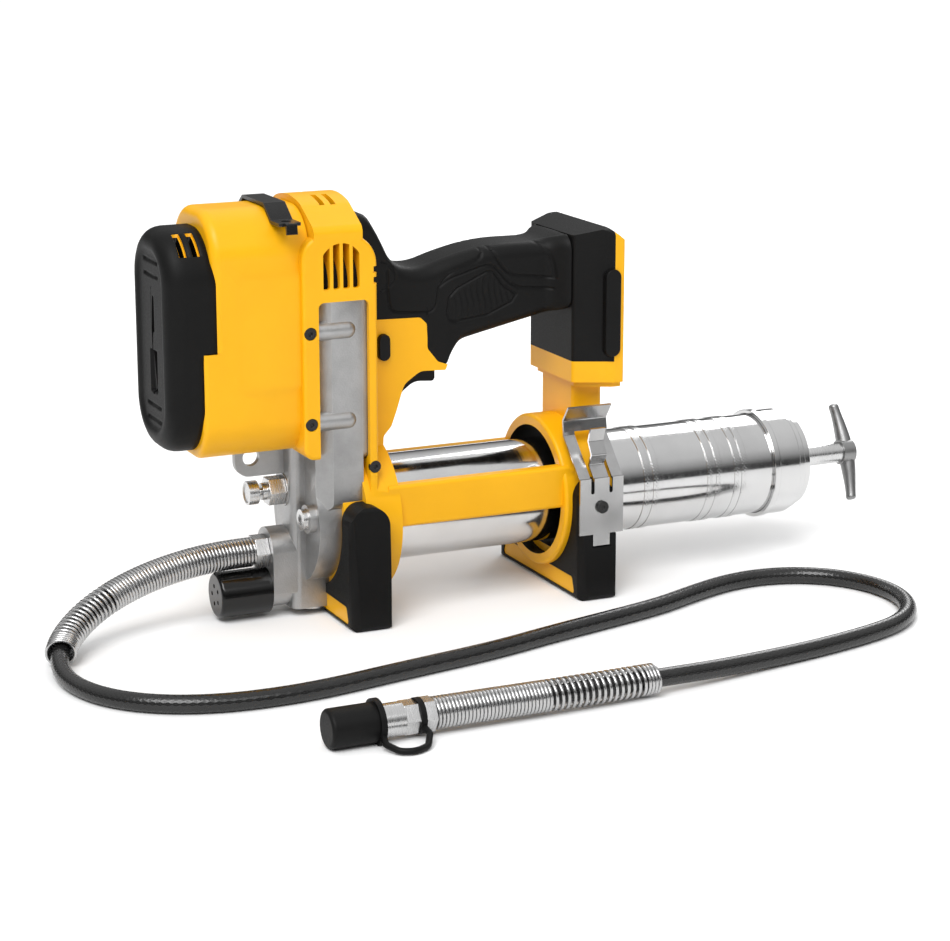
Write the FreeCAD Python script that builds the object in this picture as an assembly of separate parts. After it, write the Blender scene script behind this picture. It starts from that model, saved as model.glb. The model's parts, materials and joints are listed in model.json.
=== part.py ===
"""Cordless grease gun: every physical piece as its own solid, one STEP file each.

Frame: millimetres, +X towards the T-handle, +Z up, y = 0 is the plane of symmetry,
z = 0 is the bench and the origin is under the middle of the tool.
"""
import FreeCAD, Part
import math
import os

V = FreeCAD.Vector
X = V(1, 0, 0)
Y = V(0, 1, 0)
Z = V(0, 0, 1)

# ---- clearances ---------------------------------------------------------------
RUN = 0.05          # radial running fit of a shaft or a screwed cap
SEAT = 0.1          # gap round a piece that sits in a pocket
FREE = 0.4          # gap between bodies that move past each other

# ---- barrel, cap and follower -------------------------------------------------
BARREL_Z = 51.6
BARREL_R = 28.6
BARREL_WALL = 1.2
BARREL_FRONT = -112.0
BARREL_REAR = 157.0
CAP_OVERLAP = 14.7
BAND_X = (61.5, 67.1, 101.5, 107.0, 118.8, 123.4)
BAND_WIDTH = 4.2
BAND_HEIGHT = 0.35
CAP_FRONT = BARREL_REAR - CAP_OVERLAP
CAP_RIM_R = BARREL_R + 2.3
CAP_BODY_R = BARREL_R + 1.5
CAP_STEP_X = (BARREL_REAR + 2.5, BARREL_REAR + 6.5, BARREL_REAR + 11.0)
CAP_STEP_R = (BARREL_R - 0.2, BARREL_R - 2.3)
CAP_REAR = BARREL_REAR + 16.5
CAP_WALL = 2.0
ROD_R = 4.0
STEM_R = 5.9
STEM_REAR = BARREL_REAR + 44.5
ROD_GROOVE_X = CAP_REAR + 2.5
BAR_REAR = STEM_REAR + 11.5
BAR_LENGTH = 57.0
BAR_R = 4.6
BAR_BOW = 2.6
BAR_TILT = 24.0
FOLLOWER_X = -108.0
FOLLOWER_LENGTH = 16.0
SPRING_WIRE_R = 1.1
SPRING_R = 20.0
SPRING_TURNS = 14

# ---- cast gear case and pump --------------------------------------------------
CASE_X = (-135.0, -110.2)
CASE_HALF = 34.0
CASE_Z = (62.0, 199.0)
CASE_WALL = 2.5
CASE_FLOOR_Z = 92.0
CASE_CORNER = 18.0
CASE_FACET = (8.0, 5.0)
COVER_THICKNESS = 3.6
COVER_REAR = CASE_X[1] + COVER_THICKNESS
SOCKET_X = (-135.0, -94.0)
SOCKET_R = BARREL_R + 5.4
SOCKET_STOP = -114.0
COLUMN_X = (-142.5, -113.0)
COLUMN_HALF = 13.0
COLUMN_Z = (4.5, 92.5)
PUMP_X = -128.0
PLUNGER_R = 4.5
OUTLET_Z = 35.5
OUTLET_BORE = 4.5
PORT_FRONT = -153.0
PORT_R = 12.5
RELIEF_Z = 14.0
RELIEF_R = 12.3
RELIEF_FRONT = -181.5
LUG_X = (-169.5, -134.0)
LUG_Z = (77.0, 92.6)
LUG_HALF = 2.0
EYE_X = -160.5
EYE_Z = 87.3
EYE_R = 4.6
BLEED_Z = 67.7
BLEED_FRONT = -163.0
BLEED_TRAVEL = 2.0
BLEED_HEX_X = BLEED_FRONT + 11
PASSAGE_R = 2.0
FEED_Z = 58.0
FEED_R = 5.0
SIDE_PLUG_Y = -24.0
SIDE_PLUG_Z = 56.8
SIDE_PLUG_TIP = -124.0
SIDE_PLUG_R = 3.5
CHECK_SEAT_X = -134.0
BALL_R = 3.2
BALL_GAP = 0.02
BALL_X = CHECK_SEAT_X - math.sqrt(BALL_R ** 2 - PASSAGE_R ** 2) - BALL_GAP
SPIGOT_END = -145.5
CHECK_COIL_R = 3.2
CHECK_WIRE_R = 0.5
PUMP_PLUG_R = 9.5
PUMP_PLUG_THREAD_R = 7.0
RELIEF_BORE_R = 6.0
SCREW_PLACES = [(side * (CASE_HALF - inward), z) for inward, z in ((10, 187), (7, 98)) for side in (-1, 1)]
SCREW_R = 2.0
SCREW_BOSS_R = SCREW_R + 2.6
SCREW_LENGTH = 11.0
BEARING_R = 8.0
BEARING_WIDTH = 4.0
BUSHING_R = 8.0
RIB_Z = (110.0, 157.5)
RIB_R = 5.0

# ---- gear train ---------------------------------------------------------------
MOTOR_Z = 170.0
CRANK_Z = 120.0
MODULE_1 = 0.8
MODULE_2 = 1.0
TEETH_SMALL = 12
TEETH_LARGE = 48
CRANK_THROW = 6.0
CRANK_PIN_R = 3.0
YOKE_SLOT_HALF = 3.2
MOTOR_PHASE = 0.0
YOKE_X = (-131.4, -125.6)
CRANK_GEAR_X = (-124.0, -118.5)
IDLER_WHEEL_X = (-117.0, -112.0)
MOTOR_SHAFT_R = 2.5
CRANK_SHAFT_R = 5.0
IDLER_PIN_R = 2.5

# ---- motor and its housing ----------------------------------------------------
HOUSING_X = (-195.5, -137.6)
HOUSING_HALF = CASE_HALF - 2.5
HOUSING_Z = (93.0, 220.5)
HOUSING_CORNER = 24.0
HOUSING_WALL = 2.5
HOUSING_UPPER_ROUND = 5.0
HOUSING_LOWER_ROUND = 3.0
CAP_NOSE_X = -213.0
CAP_SEAM_X = -186.5
HOUSING_UPPER_X = CAP_SEAM_X - 3.0
CAP_VENT_X = (-204.5, -197.5)
CAP_VENT_Z = (199.0, 212.0)
CAP_VENT_WIDTH = 3.6
CAP_SEAM_Z = 150.0
CAP_HALF = HOUSING_HALF - 0.9
CAP_Z = (96.0, 211.5)
CAP_CORNER = 27.0
MOTOR_X = (-186.0, -140.0)
MOTOR_R = 24.0
PAD_X = (-178.0, -143.5)
PAD_Z = (128.0, 190.0)
PAD_HEIGHT = 1.8
PAD_CHAMFER = 3.0
BRACKET_X = (-156.0, -144.2)
BRACKET_SHEET = 1.7
BRACKET_HALF = 41.5
BRACKET_HOOK_Y = 37.8
BRACKET_HOOK_Z = 209.5

# ---- clamshell ----------------------------------------------------------------
FRAME_X = (-143.5, -102.5)
FRAME_HALF = CASE_HALF + 3.0
FRAME_Z = (60.0, 207.0)
WINDOW_Z = (77.0, 173.0)
VENT_X = (-137.0, -110.5)
VENT_TOP = 225.0
VENT_SLOT_X = (-132.2, -126.8, -121.4, -116.0)
VENT_SLOT_WIDTH = 3.6
VENT_ARCH = (-122.3, 191.5)
VENT_ARCH_R = 11.5
COVER_SLOT_X = (-127.0, -121.0)
COVER_SLOT_WIDTH = 2.8
COVER_SLOT_Y = (6.0, 20.0)
REAR_SLOT_Z = (181.0, 186.5)
REAR_SLOT_HEIGHT = 3.4
SIDE_SCREWS = [(-139.5, RIB_Z[0]), (-139.5, RIB_Z[1]), (-104.5, 84.3)]
SIDE_SCREW_R = 1.5
SIDE_HEAD_R = 3.2
SCREW_SINK = 2.6
GRIP_HALF = 17.0
GRIP_ROUND = 7.0
GRIP_ROUND_X = (-42.0, 1.0)
SKIN = 2.5
SHELL = 3.0
RING_R = SOCKET_R + 8.0
RING_BORE = BARREL_R + 7.4
FRONT_RING_X = (-111.0, -91.5)
REAR_RING_X = (4.0, 33.0)
RAIL_Z = (50.0, 73.0)
RAIL_Y = (BARREL_R + 2.9, BARREL_R + 9.4)
POST_X = (19.0, 36.0)
POST_HALF = 18.7
POST_BOTTOM = 88.0
BAY_X = (15.1, 41.5)
BAY_HALF = 36.0
BAY_Z = (113.0, 200.0)
ROOF_FRONT_DROP = 4.0
ROOF_RIDGE_X = 33.0
ROOF_REAR_DROP = 7.0
BAY_SKIN = 2.0
BAY_ROOF_ROUND = 8.0
GRIP_LOBE_DEPTH = 12.0
BAY_STEP = 3.0
BAY_SKIN_Z = 127.5
BAY_RIM_X = 35.5
BAY_FLOOR_Z = 119.0
BUMPER_X = (29.5, 38.5)
BUMPER_Z = (130.5, 178.0)
RAIL_SPAN = (121.0, 178.0)
BLADE_Y = (-11.0, -4.0, 4.0, 11.0)
BLADE_THICKNESS = 0.8

# ---- feet ---------------------------------------------------------------------
FOOT_TOP_HALF = RING_R + 7.6
FOOT_HALF = FOOT_TOP_HALF + 3.0
FOOT_TOP_Z = 66.0
FRONT_FOOT_X = (-124.0, -102.0)
REAR_FOOT_X = (8.0, 30.0)
PANEL_Z = (2.6, 12.0)
PANEL_HALF = RING_R - 1.0

# ---- coupler clip -------------------------------------------------------------
CLIP_X = (8.0, 34.0)
CLIP_SLOT_Z = 59.5
CLIP_SHEET = 1.2
CLIP_Y = -FOOT_TOP_HALF - 0.4
CLIP_Z = (37.0, 68.0)
CLIP_MIDDLE = (CLIP_X[0] + CLIP_X[1]) / 2
CLIP_SCREW_Z = 52.0
CLIP_SCREW_R = 1.7
CLIP_LEG = 6.5
CLIP_TONGUE = 9.0

# ---- trigger and lock ---------------------------------------------------------
TRIGGER_HALF = 6.5
LOCK_X = -91.5
LOCK_Z = 143.0

# ---- hose and coupler ---------------------------------------------------------
HOSE_R = 4.6
GUARD_R = HOSE_R + 3.4
FITTING_FRONT = -160.5
HOSE_FLOOR_Z = HOSE_R + 0.1
COUPLER_Y = -204.5
COUPLER_Z = 9.7
ADAPTER_X = (-156.0, -147.5)
COUPLER_X = (-176.0, -156.0)
COUPLER_R = 8.0
DUST_CAP_X = (-200.0, -173.5)
DUST_CAP_R = 9.6
COUPLER_BORE = 3.3
GREASE_BORE = 1.8
TETHER_R = 1.6
TETHER_Z = 2.0
HOSE_ROUTE = [
    (FITTING_FRONT, 0, OUTLET_Z), (-178, 0, OUTLET_Z), (-200, -1, 33.2), (-221, -4, 29.4),
    (-240.5, -9, 24), (-258, -17.5, 17.5), (-272, -30.5, 11.2), (-280.5, -47.5, 6.8),
    (-283.5, -67, HOSE_FLOOR_Z), (-281.5, -87, HOSE_FLOOR_Z), (-274, -105.5, HOSE_FLOOR_Z),
    (-260.5, -121, HOSE_FLOOR_Z), (-241, -132.5, HOSE_FLOOR_Z), (-215, -139, HOSE_FLOOR_Z),
    (-178, -138.8, HOSE_FLOOR_Z), (-129, -128.5, HOSE_FLOOR_Z), (-76, -119, HOSE_FLOOR_Z),
    (-36, -107, HOSE_FLOOR_Z), (2, -97.5, HOSE_FLOOR_Z), (37, -88, HOSE_FLOOR_Z),
    (64, -76, HOSE_FLOOR_Z), (89, -66.5, HOSE_FLOOR_Z), (113, -64, HOSE_FLOOR_Z),
    (135.5, -70, HOSE_FLOOR_Z), (153, -84.5, HOSE_FLOOR_Z), (163, -105.5, HOSE_FLOOR_Z),
    (163.5, -129, HOSE_FLOOR_Z), (154, -150.5, HOSE_FLOOR_Z), (136.5, -166.5, HOSE_FLOOR_Z),
    (112, -176, HOSE_FLOOR_Z), (76, -184.5, HOSE_FLOOR_Z), (40, -190.5, 5.2),
    (9, -196, 6.4), (-17, -199.8, 7.9), (-52, -202.8, 8.8), (-88, -204, 9.3),
    (-120, COUPLER_Y, COUPLER_Z), (ADAPTER_X[1], COUPLER_Y, COUPLER_Z),
]
HEAD_GUARD_RUNS = 6
TIP_GUARD_RUNS = 4


# ==== shape helpers ============================================================
def box(x, y, z):
    """Box between the two values of each pair."""
    return Part.makeBox(x[1] - x[0], y[1] - y[0], z[1] - z[0], V(x[0], y[0], z[0]))


def rod(axis, lo, hi, radius, centre):
    """Cylinder along an axis from lo to hi; centre is a point on its axis."""
    start = V(*centre) - axis * V(*centre).dot(axis) + axis * lo
    return Part.makeCylinder(radius, hi - lo, start, axis)


def rod_x(lo, hi, radius, z, y=0.0):
    return rod(X, lo, hi, radius, (0, y, z))


def tube_x(lo, hi, outer, inner, z, y=0.0):
    return rod_x(lo, hi, outer, z, y).cut(rod_x(lo - 1, hi + 1, inner, z, y))


def hex_x(lo, hi, flats, z, y=0.0):
    """Hexagonal prism along X with flats facing up and down."""
    corner = flats / 2 / math.cos(math.pi / 6)
    points = [
        V(lo, y + corner * math.cos(k * math.pi / 3), z + corner * math.sin(k * math.pi / 3))
        for k in range(6)
    ]
    return Part.Face(Part.makePolygon(points + points[:1])).extrude(X * (hi - lo))


def union(shapes):
    """One solid from touching solids."""
    return shapes[0].multiFuse(shapes[1:]).removeSplitter()


def group(shapes):
    """Separate solids that share one node."""
    return Part.makeCompound(shapes)


def corner_arc(before, corner, after, radius):
    """Tangent arc that rounds a corner: its start, middle and end."""
    back = (before - corner).normalize()
    ahead = (after - corner).normalize()
    half_turn = (math.pi - back.getAngle(ahead)) / 2
    reach = radius * math.tan(half_turn)
    bisector = (back + ahead).normalize()
    middle = corner + bisector * (radius / math.cos(half_turn) - radius)
    return corner + back * reach, middle, corner + ahead * reach


def rounded_edges(corners, radii, closed):
    """Straight runs joined by tangent arcs through a list of corners."""
    count = len(corners)
    arcs = []
    for k in range(count):
        if radii[k] <= 0 or (not closed and k in (0, count - 1)):
            arcs.append((corners[k], None, corners[k]))
        else:
            arcs.append(corner_arc(corners[k - 1], corners[k], corners[(k + 1) % count], radii[k]))
    edges = []
    for k in range(count):
        start, middle, end = arcs[k]
        if middle is not None:
            edges.append(Part.Arc(start, middle, end).toShape())
        if k < count - 1 or closed:
            following = arcs[(k + 1) % count][0]
            if (following - end).Length > 1e-6:
                edges.append(Part.LineSegment(end, following).toShape())
    return edges


def slab(plane, outline, lo, hi):
    """Solid from an outline of (a, b) or (a, b, corner radius), extruded from lo to hi."""
    place = {
        "yz": (lambda a, b: V(lo, a, b), X),
        "xz": (lambda a, b: V(a, lo, b), Y),
        "xy": (lambda a, b: V(a, b, lo), Z),
    }
    to_point, direction = place[plane]
    corners = [to_point(p[0], p[1]) for p in outline]
    radii = [p[2] if len(p) > 2 else 0 for p in outline]
    wire = Part.Wire(rounded_edges(corners, radii, True))
    return Part.Face(wire).extrude(direction * (hi - lo))


def panel(x, half, z, corner, top_corner=None):
    """Rounded upright block, symmetric about y = 0."""
    top = corner if top_corner is None else top_corner
    outline = [(-half, z[0], corner), (half, z[0], corner), (half, z[1], top), (-half, z[1], top)]
    return slab("yz", outline, x[0], x[1])


def soften(shape, radius, choose):
    """Fillet the edges that choose accepts."""
    edges = [edge for edge in shape.Edges if choose(edge)]
    return shape.makeFillet(radius, edges)


def edge_in_plane(axis, value):
    """Test for edges that lie in the plane axis = value."""
    def test(edge):
        box_ = edge.BoundBox
        low = (box_.XMin, box_.YMin, box_.ZMin)["xyz".index(axis)]
        high = (box_.XMax, box_.YMax, box_.ZMax)["xyz".index(axis)]
        return abs(low - value) < 0.01 and abs(high - value) < 0.01
    return test


def mirror_y(shape):
    return shape.mirror(V(0, 0, 0), Y)


def save(name, shape):
    shape.exportStep("parts/" + name + ".step")


# ==== gears ====================================================================
def gear(lo, hi, teeth, module, bore, y, z, phase):
    """Straight toothed gear; flanks are involutes thinned by a little backlash."""
    pitch = module * teeth / 2
    base = pitch * math.cos(math.radians(20))
    tip = pitch + module
    root = pitch - 1.25 * module
    backlash = 0.06 / pitch

    def inv(radius):
        angle = math.acos(min(1.0, base / radius))
        return math.tan(angle) - angle

    half_tooth = math.pi / 2 / teeth + inv(pitch) - backlash
    start = max(base, root)
    radii = [start + (tip - start) * k / 4 for k in range(5)]
    points = []
    for tooth in range(teeth):
        middle = phase + 2 * math.pi * tooth / teeth
        left = [(r, middle - half_tooth + inv(r)) for r in radii]
        right = [(r, middle + half_tooth - inv(r)) for r in reversed(radii)]
        foot_left = [(root, left[0][1])] if root < start - 1e-6 else []
        foot_right = [(root, right[-1][1])] if root < start - 1e-6 else []
        points += foot_left + left + right + foot_right
    corners = [V(lo, y + r * math.cos(a), z + r * math.sin(a)) for r, a in points]
    solid = Part.Face(Part.makePolygon(corners + corners[:1])).extrude(X * (hi - lo))
    return solid.cut(rod_x(lo - 1, hi + 1, bore, z, y)) if bore else solid


FIRST_CENTRES = MODULE_1 * (TEETH_SMALL + TEETH_LARGE) / 2
SECOND_CENTRES = MODULE_2 * (TEETH_SMALL + TEETH_LARGE) / 2


def idler_place():
    """Centre of the idler, from its distances to the motor and crank axes."""
    drop = MOTOR_Z - CRANK_Z
    up = (SECOND_CENTRES ** 2 - FIRST_CENTRES ** 2 + drop ** 2) / (2 * drop)
    return math.sqrt(SECOND_CENTRES ** 2 - up ** 2), CRANK_Z + up


IDLER_Y, IDLER_Z = idler_place()


def mesh_phase(driver_phase, driver_teeth, teeth, toward):
    """Phase that puts a space of the driven gear on the driver's tooth."""
    offset = (toward - driver_phase) * driver_teeth / (2 * math.pi)
    fraction = offset - math.floor(offset)
    return toward + math.pi + math.pi / teeth + fraction * 2 * math.pi / teeth


# ==== cast gear case and what is fixed to it ===================================
def faceted(x, half, z, corner, top_corner):
    """Case block whose two upright front edges are cut off at an angle."""
    depth, width = CASE_FACET
    plan = slab("xy", [
        (x[0], -half + width), (x[0] + depth, -half), (x[1], -half),
        (x[1], half), (x[0] + depth, half), (x[0], half - width),
    ], z[0] - 1, z[1] + 1)
    return panel(x, half, z, corner, top_corner).common(plan)


def casting_envelope():
    """Outside of the casting, without its bosses, bores and cavity."""
    column = slab("xy", [
        (COLUMN_X[0], -COLUMN_HALF, 5), (COLUMN_X[1], -COLUMN_HALF),
        (COLUMN_X[1], COLUMN_HALF), (COLUMN_X[0], COLUMN_HALF, 5),
    ], *COLUMN_Z)
    return union([
        faceted(CASE_X, CASE_HALF, CASE_Z, 4, CASE_CORNER),
        rod_x(*SOCKET_X, SOCKET_R, BARREL_Z),
        column,
        rod_x(PORT_FRONT, COLUMN_X[1], PORT_R, OUTLET_Z),
        rod_x(PORT_FRONT, COLUMN_X[1], RELIEF_R - 1.9, RELIEF_Z + 1),
        box((PORT_FRONT, COLUMN_X[1]), (-PORT_R, PORT_R), (RELIEF_Z, OUTLET_Z)),
    ])


def strap_lug():
    """Flat eye under the motor housing, for a shoulder strap hook."""
    outline = [
        (LUG_X[0], LUG_Z[0], 8), (LUG_X[1], LUG_Z[0]),
        (LUG_X[1], LUG_Z[1]), (LUG_X[0], LUG_Z[1], 4),
    ]
    plate = slab("xz", outline, -LUG_HALF, LUG_HALF)
    return plate.cut(rod(Y, -LUG_HALF - 1, LUG_HALF + 1, EYE_R, (EYE_X, 0, EYE_Z)))


def side_ribs():
    """Cast bosses that cross the case on both sides, at the housing screws."""
    ribs = []
    for z in RIB_Z:
        for side in (-1, 1):
            y = side * (CASE_HALF - 2.5)
            end = CASE_X[1] - 3 - RIB_R
            bar = union([rod_x(CASE_X[0], end, RIB_R, z, y), Part.makeSphere(RIB_R, V(end, y, z))])
            ribs.append(bar.common(box(CASE_X, (-FRAME_HALF, FRAME_HALF), CASE_Z)))
    return ribs


def gearcase():
    bleed_boss = rod_x(CASE_X[0] - 8, CASE_X[0] + 1, 9, BLEED_Z)
    plug_boss = rod_x(SOCKET_X[0] - 4, SOCKET_X[0] + 1, 7.5, SIDE_PLUG_Z, SIDE_PLUG_Y)
    body = union([casting_envelope(), strap_lug(), bleed_boss, plug_boss] + side_ribs())
    cavity = faceted(
        (CASE_X[0] + CASE_WALL, CASE_X[1] + 1), CASE_HALF - CASE_WALL,
        (CASE_FLOOR_Z, CASE_Z[1] - CASE_WALL), 4, CASE_CORNER - CASE_WALL,
    )
    for y, z in SCREW_PLACES:
        cavity = cavity.cut(rod_x(CASE_X[0] + 1, CASE_X[1], SCREW_BOSS_R, z, y))
    body = body.cut(cavity)
    bores = [
        rod_x(SOCKET_STOP, SOCKET_X[1] + 1, BARREL_R + RUN, BARREL_Z),
        rod_x(PUMP_X, SOCKET_STOP + 1, FEED_R, FEED_Z),
        rod(Z, OUTLET_Z - 4, CASE_FLOOR_Z + 1, PLUNGER_R + RUN, (PUMP_X, 0, 0)),
        rod_x(PORT_FRONT - 1, CHECK_SEAT_X, OUTLET_BORE, OUTLET_Z),
        rod_x(CHECK_SEAT_X, PUMP_X, PASSAGE_R, OUTLET_Z),
        rod(Z, RELIEF_Z, OUTLET_Z, PASSAGE_R, (PUMP_X, 0, 0)),
        rod_x(PORT_FRONT - 1, PUMP_X + 2, RELIEF_BORE_R, RELIEF_Z),
        rod(Z, 0, 7.5, PUMP_PLUG_THREAD_R, (PUMP_X, 0, 0)),
        rod_x(BLEED_FRONT, PUMP_X, PASSAGE_R, BLEED_Z),
        rod_x(BLEED_FRONT, CASE_X[0] - 2, 4, BLEED_Z),
        rod_x(SOCKET_X[0] - 5, SIDE_PLUG_TIP, SIDE_PLUG_R, SIDE_PLUG_Z, SIDE_PLUG_Y),
        rod_x(CASE_X[0] - 1, CASE_X[0] + 5, BEARING_R, MOTOR_Z),
        rod_x(CASE_X[0] + 1, CASE_X[0] + 5, IDLER_PIN_R, IDLER_Z, IDLER_Y),
    ]
    bores += [rod_x(CASE_X[1] - 12, CASE_X[1] + 1, SCREW_R, z, y) for y, z in SCREW_PLACES]
    for bore in bores:
        body = body.cut(bore)
    return body


def gearcase_cover():
    plate = panel(
        (CASE_X[1], COVER_REAR), CASE_HALF - 0.5,
        (CASE_FLOOR_Z - 3.5, CASE_Z[1] - 1), 4, CASE_CORNER - 1,
    )
    holes = [rod_x(CASE_X[1] - 1, COVER_REAR + 1, SCREW_R, z, y) for y, z in SCREW_PLACES]
    holes.append(rod_x(CASE_X[1] - 1, COVER_REAR + 1, SOCKET_R + SEAT, BARREL_Z))
    holes.append(rod_x(CASE_X[1] - 1, COVER_REAR + 1, BUSHING_R, CRANK_Z))
    holes.append(rod_x(CASE_X[1] - 1, COVER_REAR - 1, IDLER_PIN_R, IDLER_Z, IDLER_Y))
    for hole in holes:
        plate = plate.cut(hole)
    return plate


def screw_x(tip, seat, radius, z, y, head=1.8):
    """Cap screw along X: the shank ends at tip, the head sits on the face at seat."""
    sign = 1 if seat > tip else -1
    low, high = sorted((tip, seat))
    shank = rod_x(low, high, radius, z, y)
    low, high = sorted((seat, seat + sign * head))
    return union([shank, rod_x(low, high, radius * 1.8, z, y)])


def gearcase_screws():
    tip = CASE_X[1] - SCREW_LENGTH
    return group([screw_x(tip, COVER_REAR, SCREW_R, z, y) for y, z in SCREW_PLACES])


def crank_bushing():
    return tube_x(CASE_X[1] - 1.5, COVER_REAR, BUSHING_R, CRANK_SHAFT_R + RUN, CRANK_Z)


def idler_pin():
    return rod_x(CASE_X[0] + 1, COVER_REAR - 1, IDLER_PIN_R, IDLER_Z, IDLER_Y)


def barrel_seal():
    """Flat rubber ring that the barrel's front edge closes on."""
    return tube_x(SOCKET_STOP, BARREL_FRONT, BARREL_R - RUN, BARREL_R - 3, BARREL_Z)


def check_ball():
    return Part.makeSphere(BALL_R, V(BALL_X, 0, OUTLET_Z))


def coil(axis_x, length, radius, wire, turns, y, z):
    """Helical spring along X, starting at axis_x."""
    helix = Part.makeHelix(length / turns, length, radius)
    start = V(radius, 0, 0)
    ring = Part.Wire(Part.Circle(start, Y, wire).toShape())
    spring = Part.Wire(helix).makePipeShell([ring], True, True)
    spring.rotate(V(0, 0, 0), Y, 90)
    spring.translate(V(axis_x, y, z))
    return spring


def check_spring():
    """Weak spring between the hose's spigot and the ball."""
    inset = CHECK_WIRE_R * 1.5
    space = BALL_X - BALL_R - SPIGOT_END - 2 * inset
    return coil(SPIGOT_END + inset, space, CHECK_COIL_R, CHECK_WIRE_R, 3, 0, OUTLET_Z)


def relief_valve():
    """Relief cartridge: its nose seals the pressure passage, its hex is under the cover."""
    body = rod_x(PORT_FRONT, PUMP_X - 4, RELIEF_BORE_R - SEAT, RELIEF_Z)
    return union([body, hex_x(PORT_FRONT - 12, PORT_FRONT, 14, RELIEF_Z)])


def relief_cover():
    """Rubber boot over the relief valve, with drain holes in its face."""
    cup = rod_x(RELIEF_FRONT, PORT_FRONT, RELIEF_R, RELIEF_Z)
    cup = soften(cup, 2.0, edge_in_plane("x", RELIEF_FRONT))
    cup = cup.cut(rod_x(RELIEF_FRONT + 2.5, PORT_FRONT + 1, RELIEF_R - 2, RELIEF_Z))
    ring = 5.0
    for k in range(5):
        angle = 2 * math.pi * k / 5
        y = ring * math.cos(angle)
        z = RELIEF_Z + ring * math.sin(angle)
        cup = cup.cut(rod_x(RELIEF_FRONT - 1, RELIEF_FRONT + 4, 1.1, z, y))
    return cup


def pump_plug():
    """Screw plug under the pump bore, with a hexagon socket."""
    plug = rod(Z, 2.3, COLUMN_Z[0], PUMP_PLUG_R, (PUMP_X, 0, 0))
    plug = union([plug, rod(Z, COLUMN_Z[0], 7.4, PUMP_PLUG_THREAD_R - RUN, (PUMP_X, 0, 0))])
    return plug.cut(rod(Z, 2, 5, 3, (PUMP_X, 0, 0)))


def bleeder_body():
    """Hexagon body of the air bleed valve, also the loader nipple's seat."""
    back = CASE_X[0] - 8
    body = union([
        hex_x(BLEED_HEX_X, back, 14, BLEED_Z),
        rod_x(back, CASE_X[0] - 2.5, 4 - RUN, BLEED_Z),
        rod_x(BLEED_HEX_X - 3, BLEED_HEX_X, 4.6, BLEED_Z),
    ])
    return body.cut(rod_x(BLEED_HEX_X - 4, CASE_X[0] - 2, PASSAGE_R + RUN, BLEED_Z))


def bleeder_stem():
    """Knurled button and pin of the bleed valve; it is pressed in to let air out."""
    button = rod_x(BLEED_FRONT, BLEED_HEX_X - 3.3 - BLEED_TRAVEL, 6.4, BLEED_Z)
    button = button.cut(rod_x(BLEED_FRONT - 1, BLEED_FRONT + 0.6, 5, BLEED_Z))
    return union([button, rod_x(BLEED_FRONT + 2, CASE_X[0] - 6, PASSAGE_R, BLEED_Z)])


def check_valve_plug():
    """Screw plug with a hexagon socket, to the side of the pump."""
    back = SOCKET_X[0] - 4
    front = back - 3
    plug = union([
        rod_x(front, back, 5.6, SIDE_PLUG_Z, SIDE_PLUG_Y),
        rod_x(back, SIDE_PLUG_TIP, SIDE_PLUG_R - RUN, SIDE_PLUG_Z, SIDE_PLUG_Y),
    ])
    return plug.cut(hex_x(front - 1, front + 2.2, 5.5, SIDE_PLUG_Z, SIDE_PLUG_Y))


# ==== gear train ===============================================================
TO_IDLER = math.atan2(IDLER_Z - MOTOR_Z, IDLER_Y)
TO_CRANK = math.atan2(CRANK_Z - IDLER_Z, -IDLER_Y)


def motor_pinion():
    return gear(
        IDLER_WHEEL_X[0] - 0.4, IDLER_WHEEL_X[1] + 0.4, TEETH_SMALL, MODULE_1,
        MOTOR_SHAFT_R, 0, MOTOR_Z, MOTOR_PHASE,
    )


def idler_gear():
    """Large wheel and small pinion in one piece, turning on a fixed pin."""
    bore = IDLER_PIN_R + RUN
    phase = mesh_phase(MOTOR_PHASE, TEETH_SMALL, TEETH_LARGE, TO_IDLER)
    wheel = gear(*IDLER_WHEEL_X, TEETH_LARGE, MODULE_1, bore, IDLER_Y, IDLER_Z, phase)
    pinion = gear(
        CRANK_GEAR_X[0] - 0.3, IDLER_WHEEL_X[0], TEETH_SMALL, MODULE_2,
        bore, IDLER_Y, IDLER_Z, 0.0,
    )
    return union([wheel, pinion])


def crank_gear():
    phase = mesh_phase(0.0, TEETH_SMALL, TEETH_LARGE, TO_CRANK)
    wheel = gear(*CRANK_GEAR_X, TEETH_LARGE, MODULE_2, CRANK_SHAFT_R, 0, CRANK_Z, phase)
    return wheel.cut(rod_x(CRANK_GEAR_X[0] - 1, CRANK_GEAR_X[1] + 1, CRANK_PIN_R, CRANK_Z, CRANK_THROW))


def crank_shaft():
    """Shaft and eccentric pin pressed into the gear; the pin stops short of the yoke."""
    shaft = rod_x(CRANK_GEAR_X[0], COVER_REAR - 0.5, CRANK_SHAFT_R, CRANK_Z)
    pin = rod_x(YOKE_X[1] + FREE, CRANK_GEAR_X[1], CRANK_PIN_R, CRANK_Z, CRANK_THROW)
    return union([shaft, pin])


def plunger():
    """Slotted yoke and the pump plunger under it, in one piece."""
    wide = CRANK_THROW + CRANK_PIN_R + 4.5
    yoke = box(YOKE_X, (-wide, wide), (CRANK_Z - 7, CRANK_Z + 7))
    reach = CRANK_THROW + YOKE_SLOT_HALF
    yoke = yoke.cut(box((YOKE_X[0] - 1, YOKE_X[1] + 1), (-reach, reach),
                        (CRANK_Z - YOKE_SLOT_HALF, CRANK_Z + YOKE_SLOT_HALF)))
    stem = rod(Z, 84, CRANK_Z - 7, 2.8, (PUMP_X, 0, 0))
    return union([yoke, stem, rod(Z, 58, 84, PLUNGER_R, (PUMP_X, 0, 0))])


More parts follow.
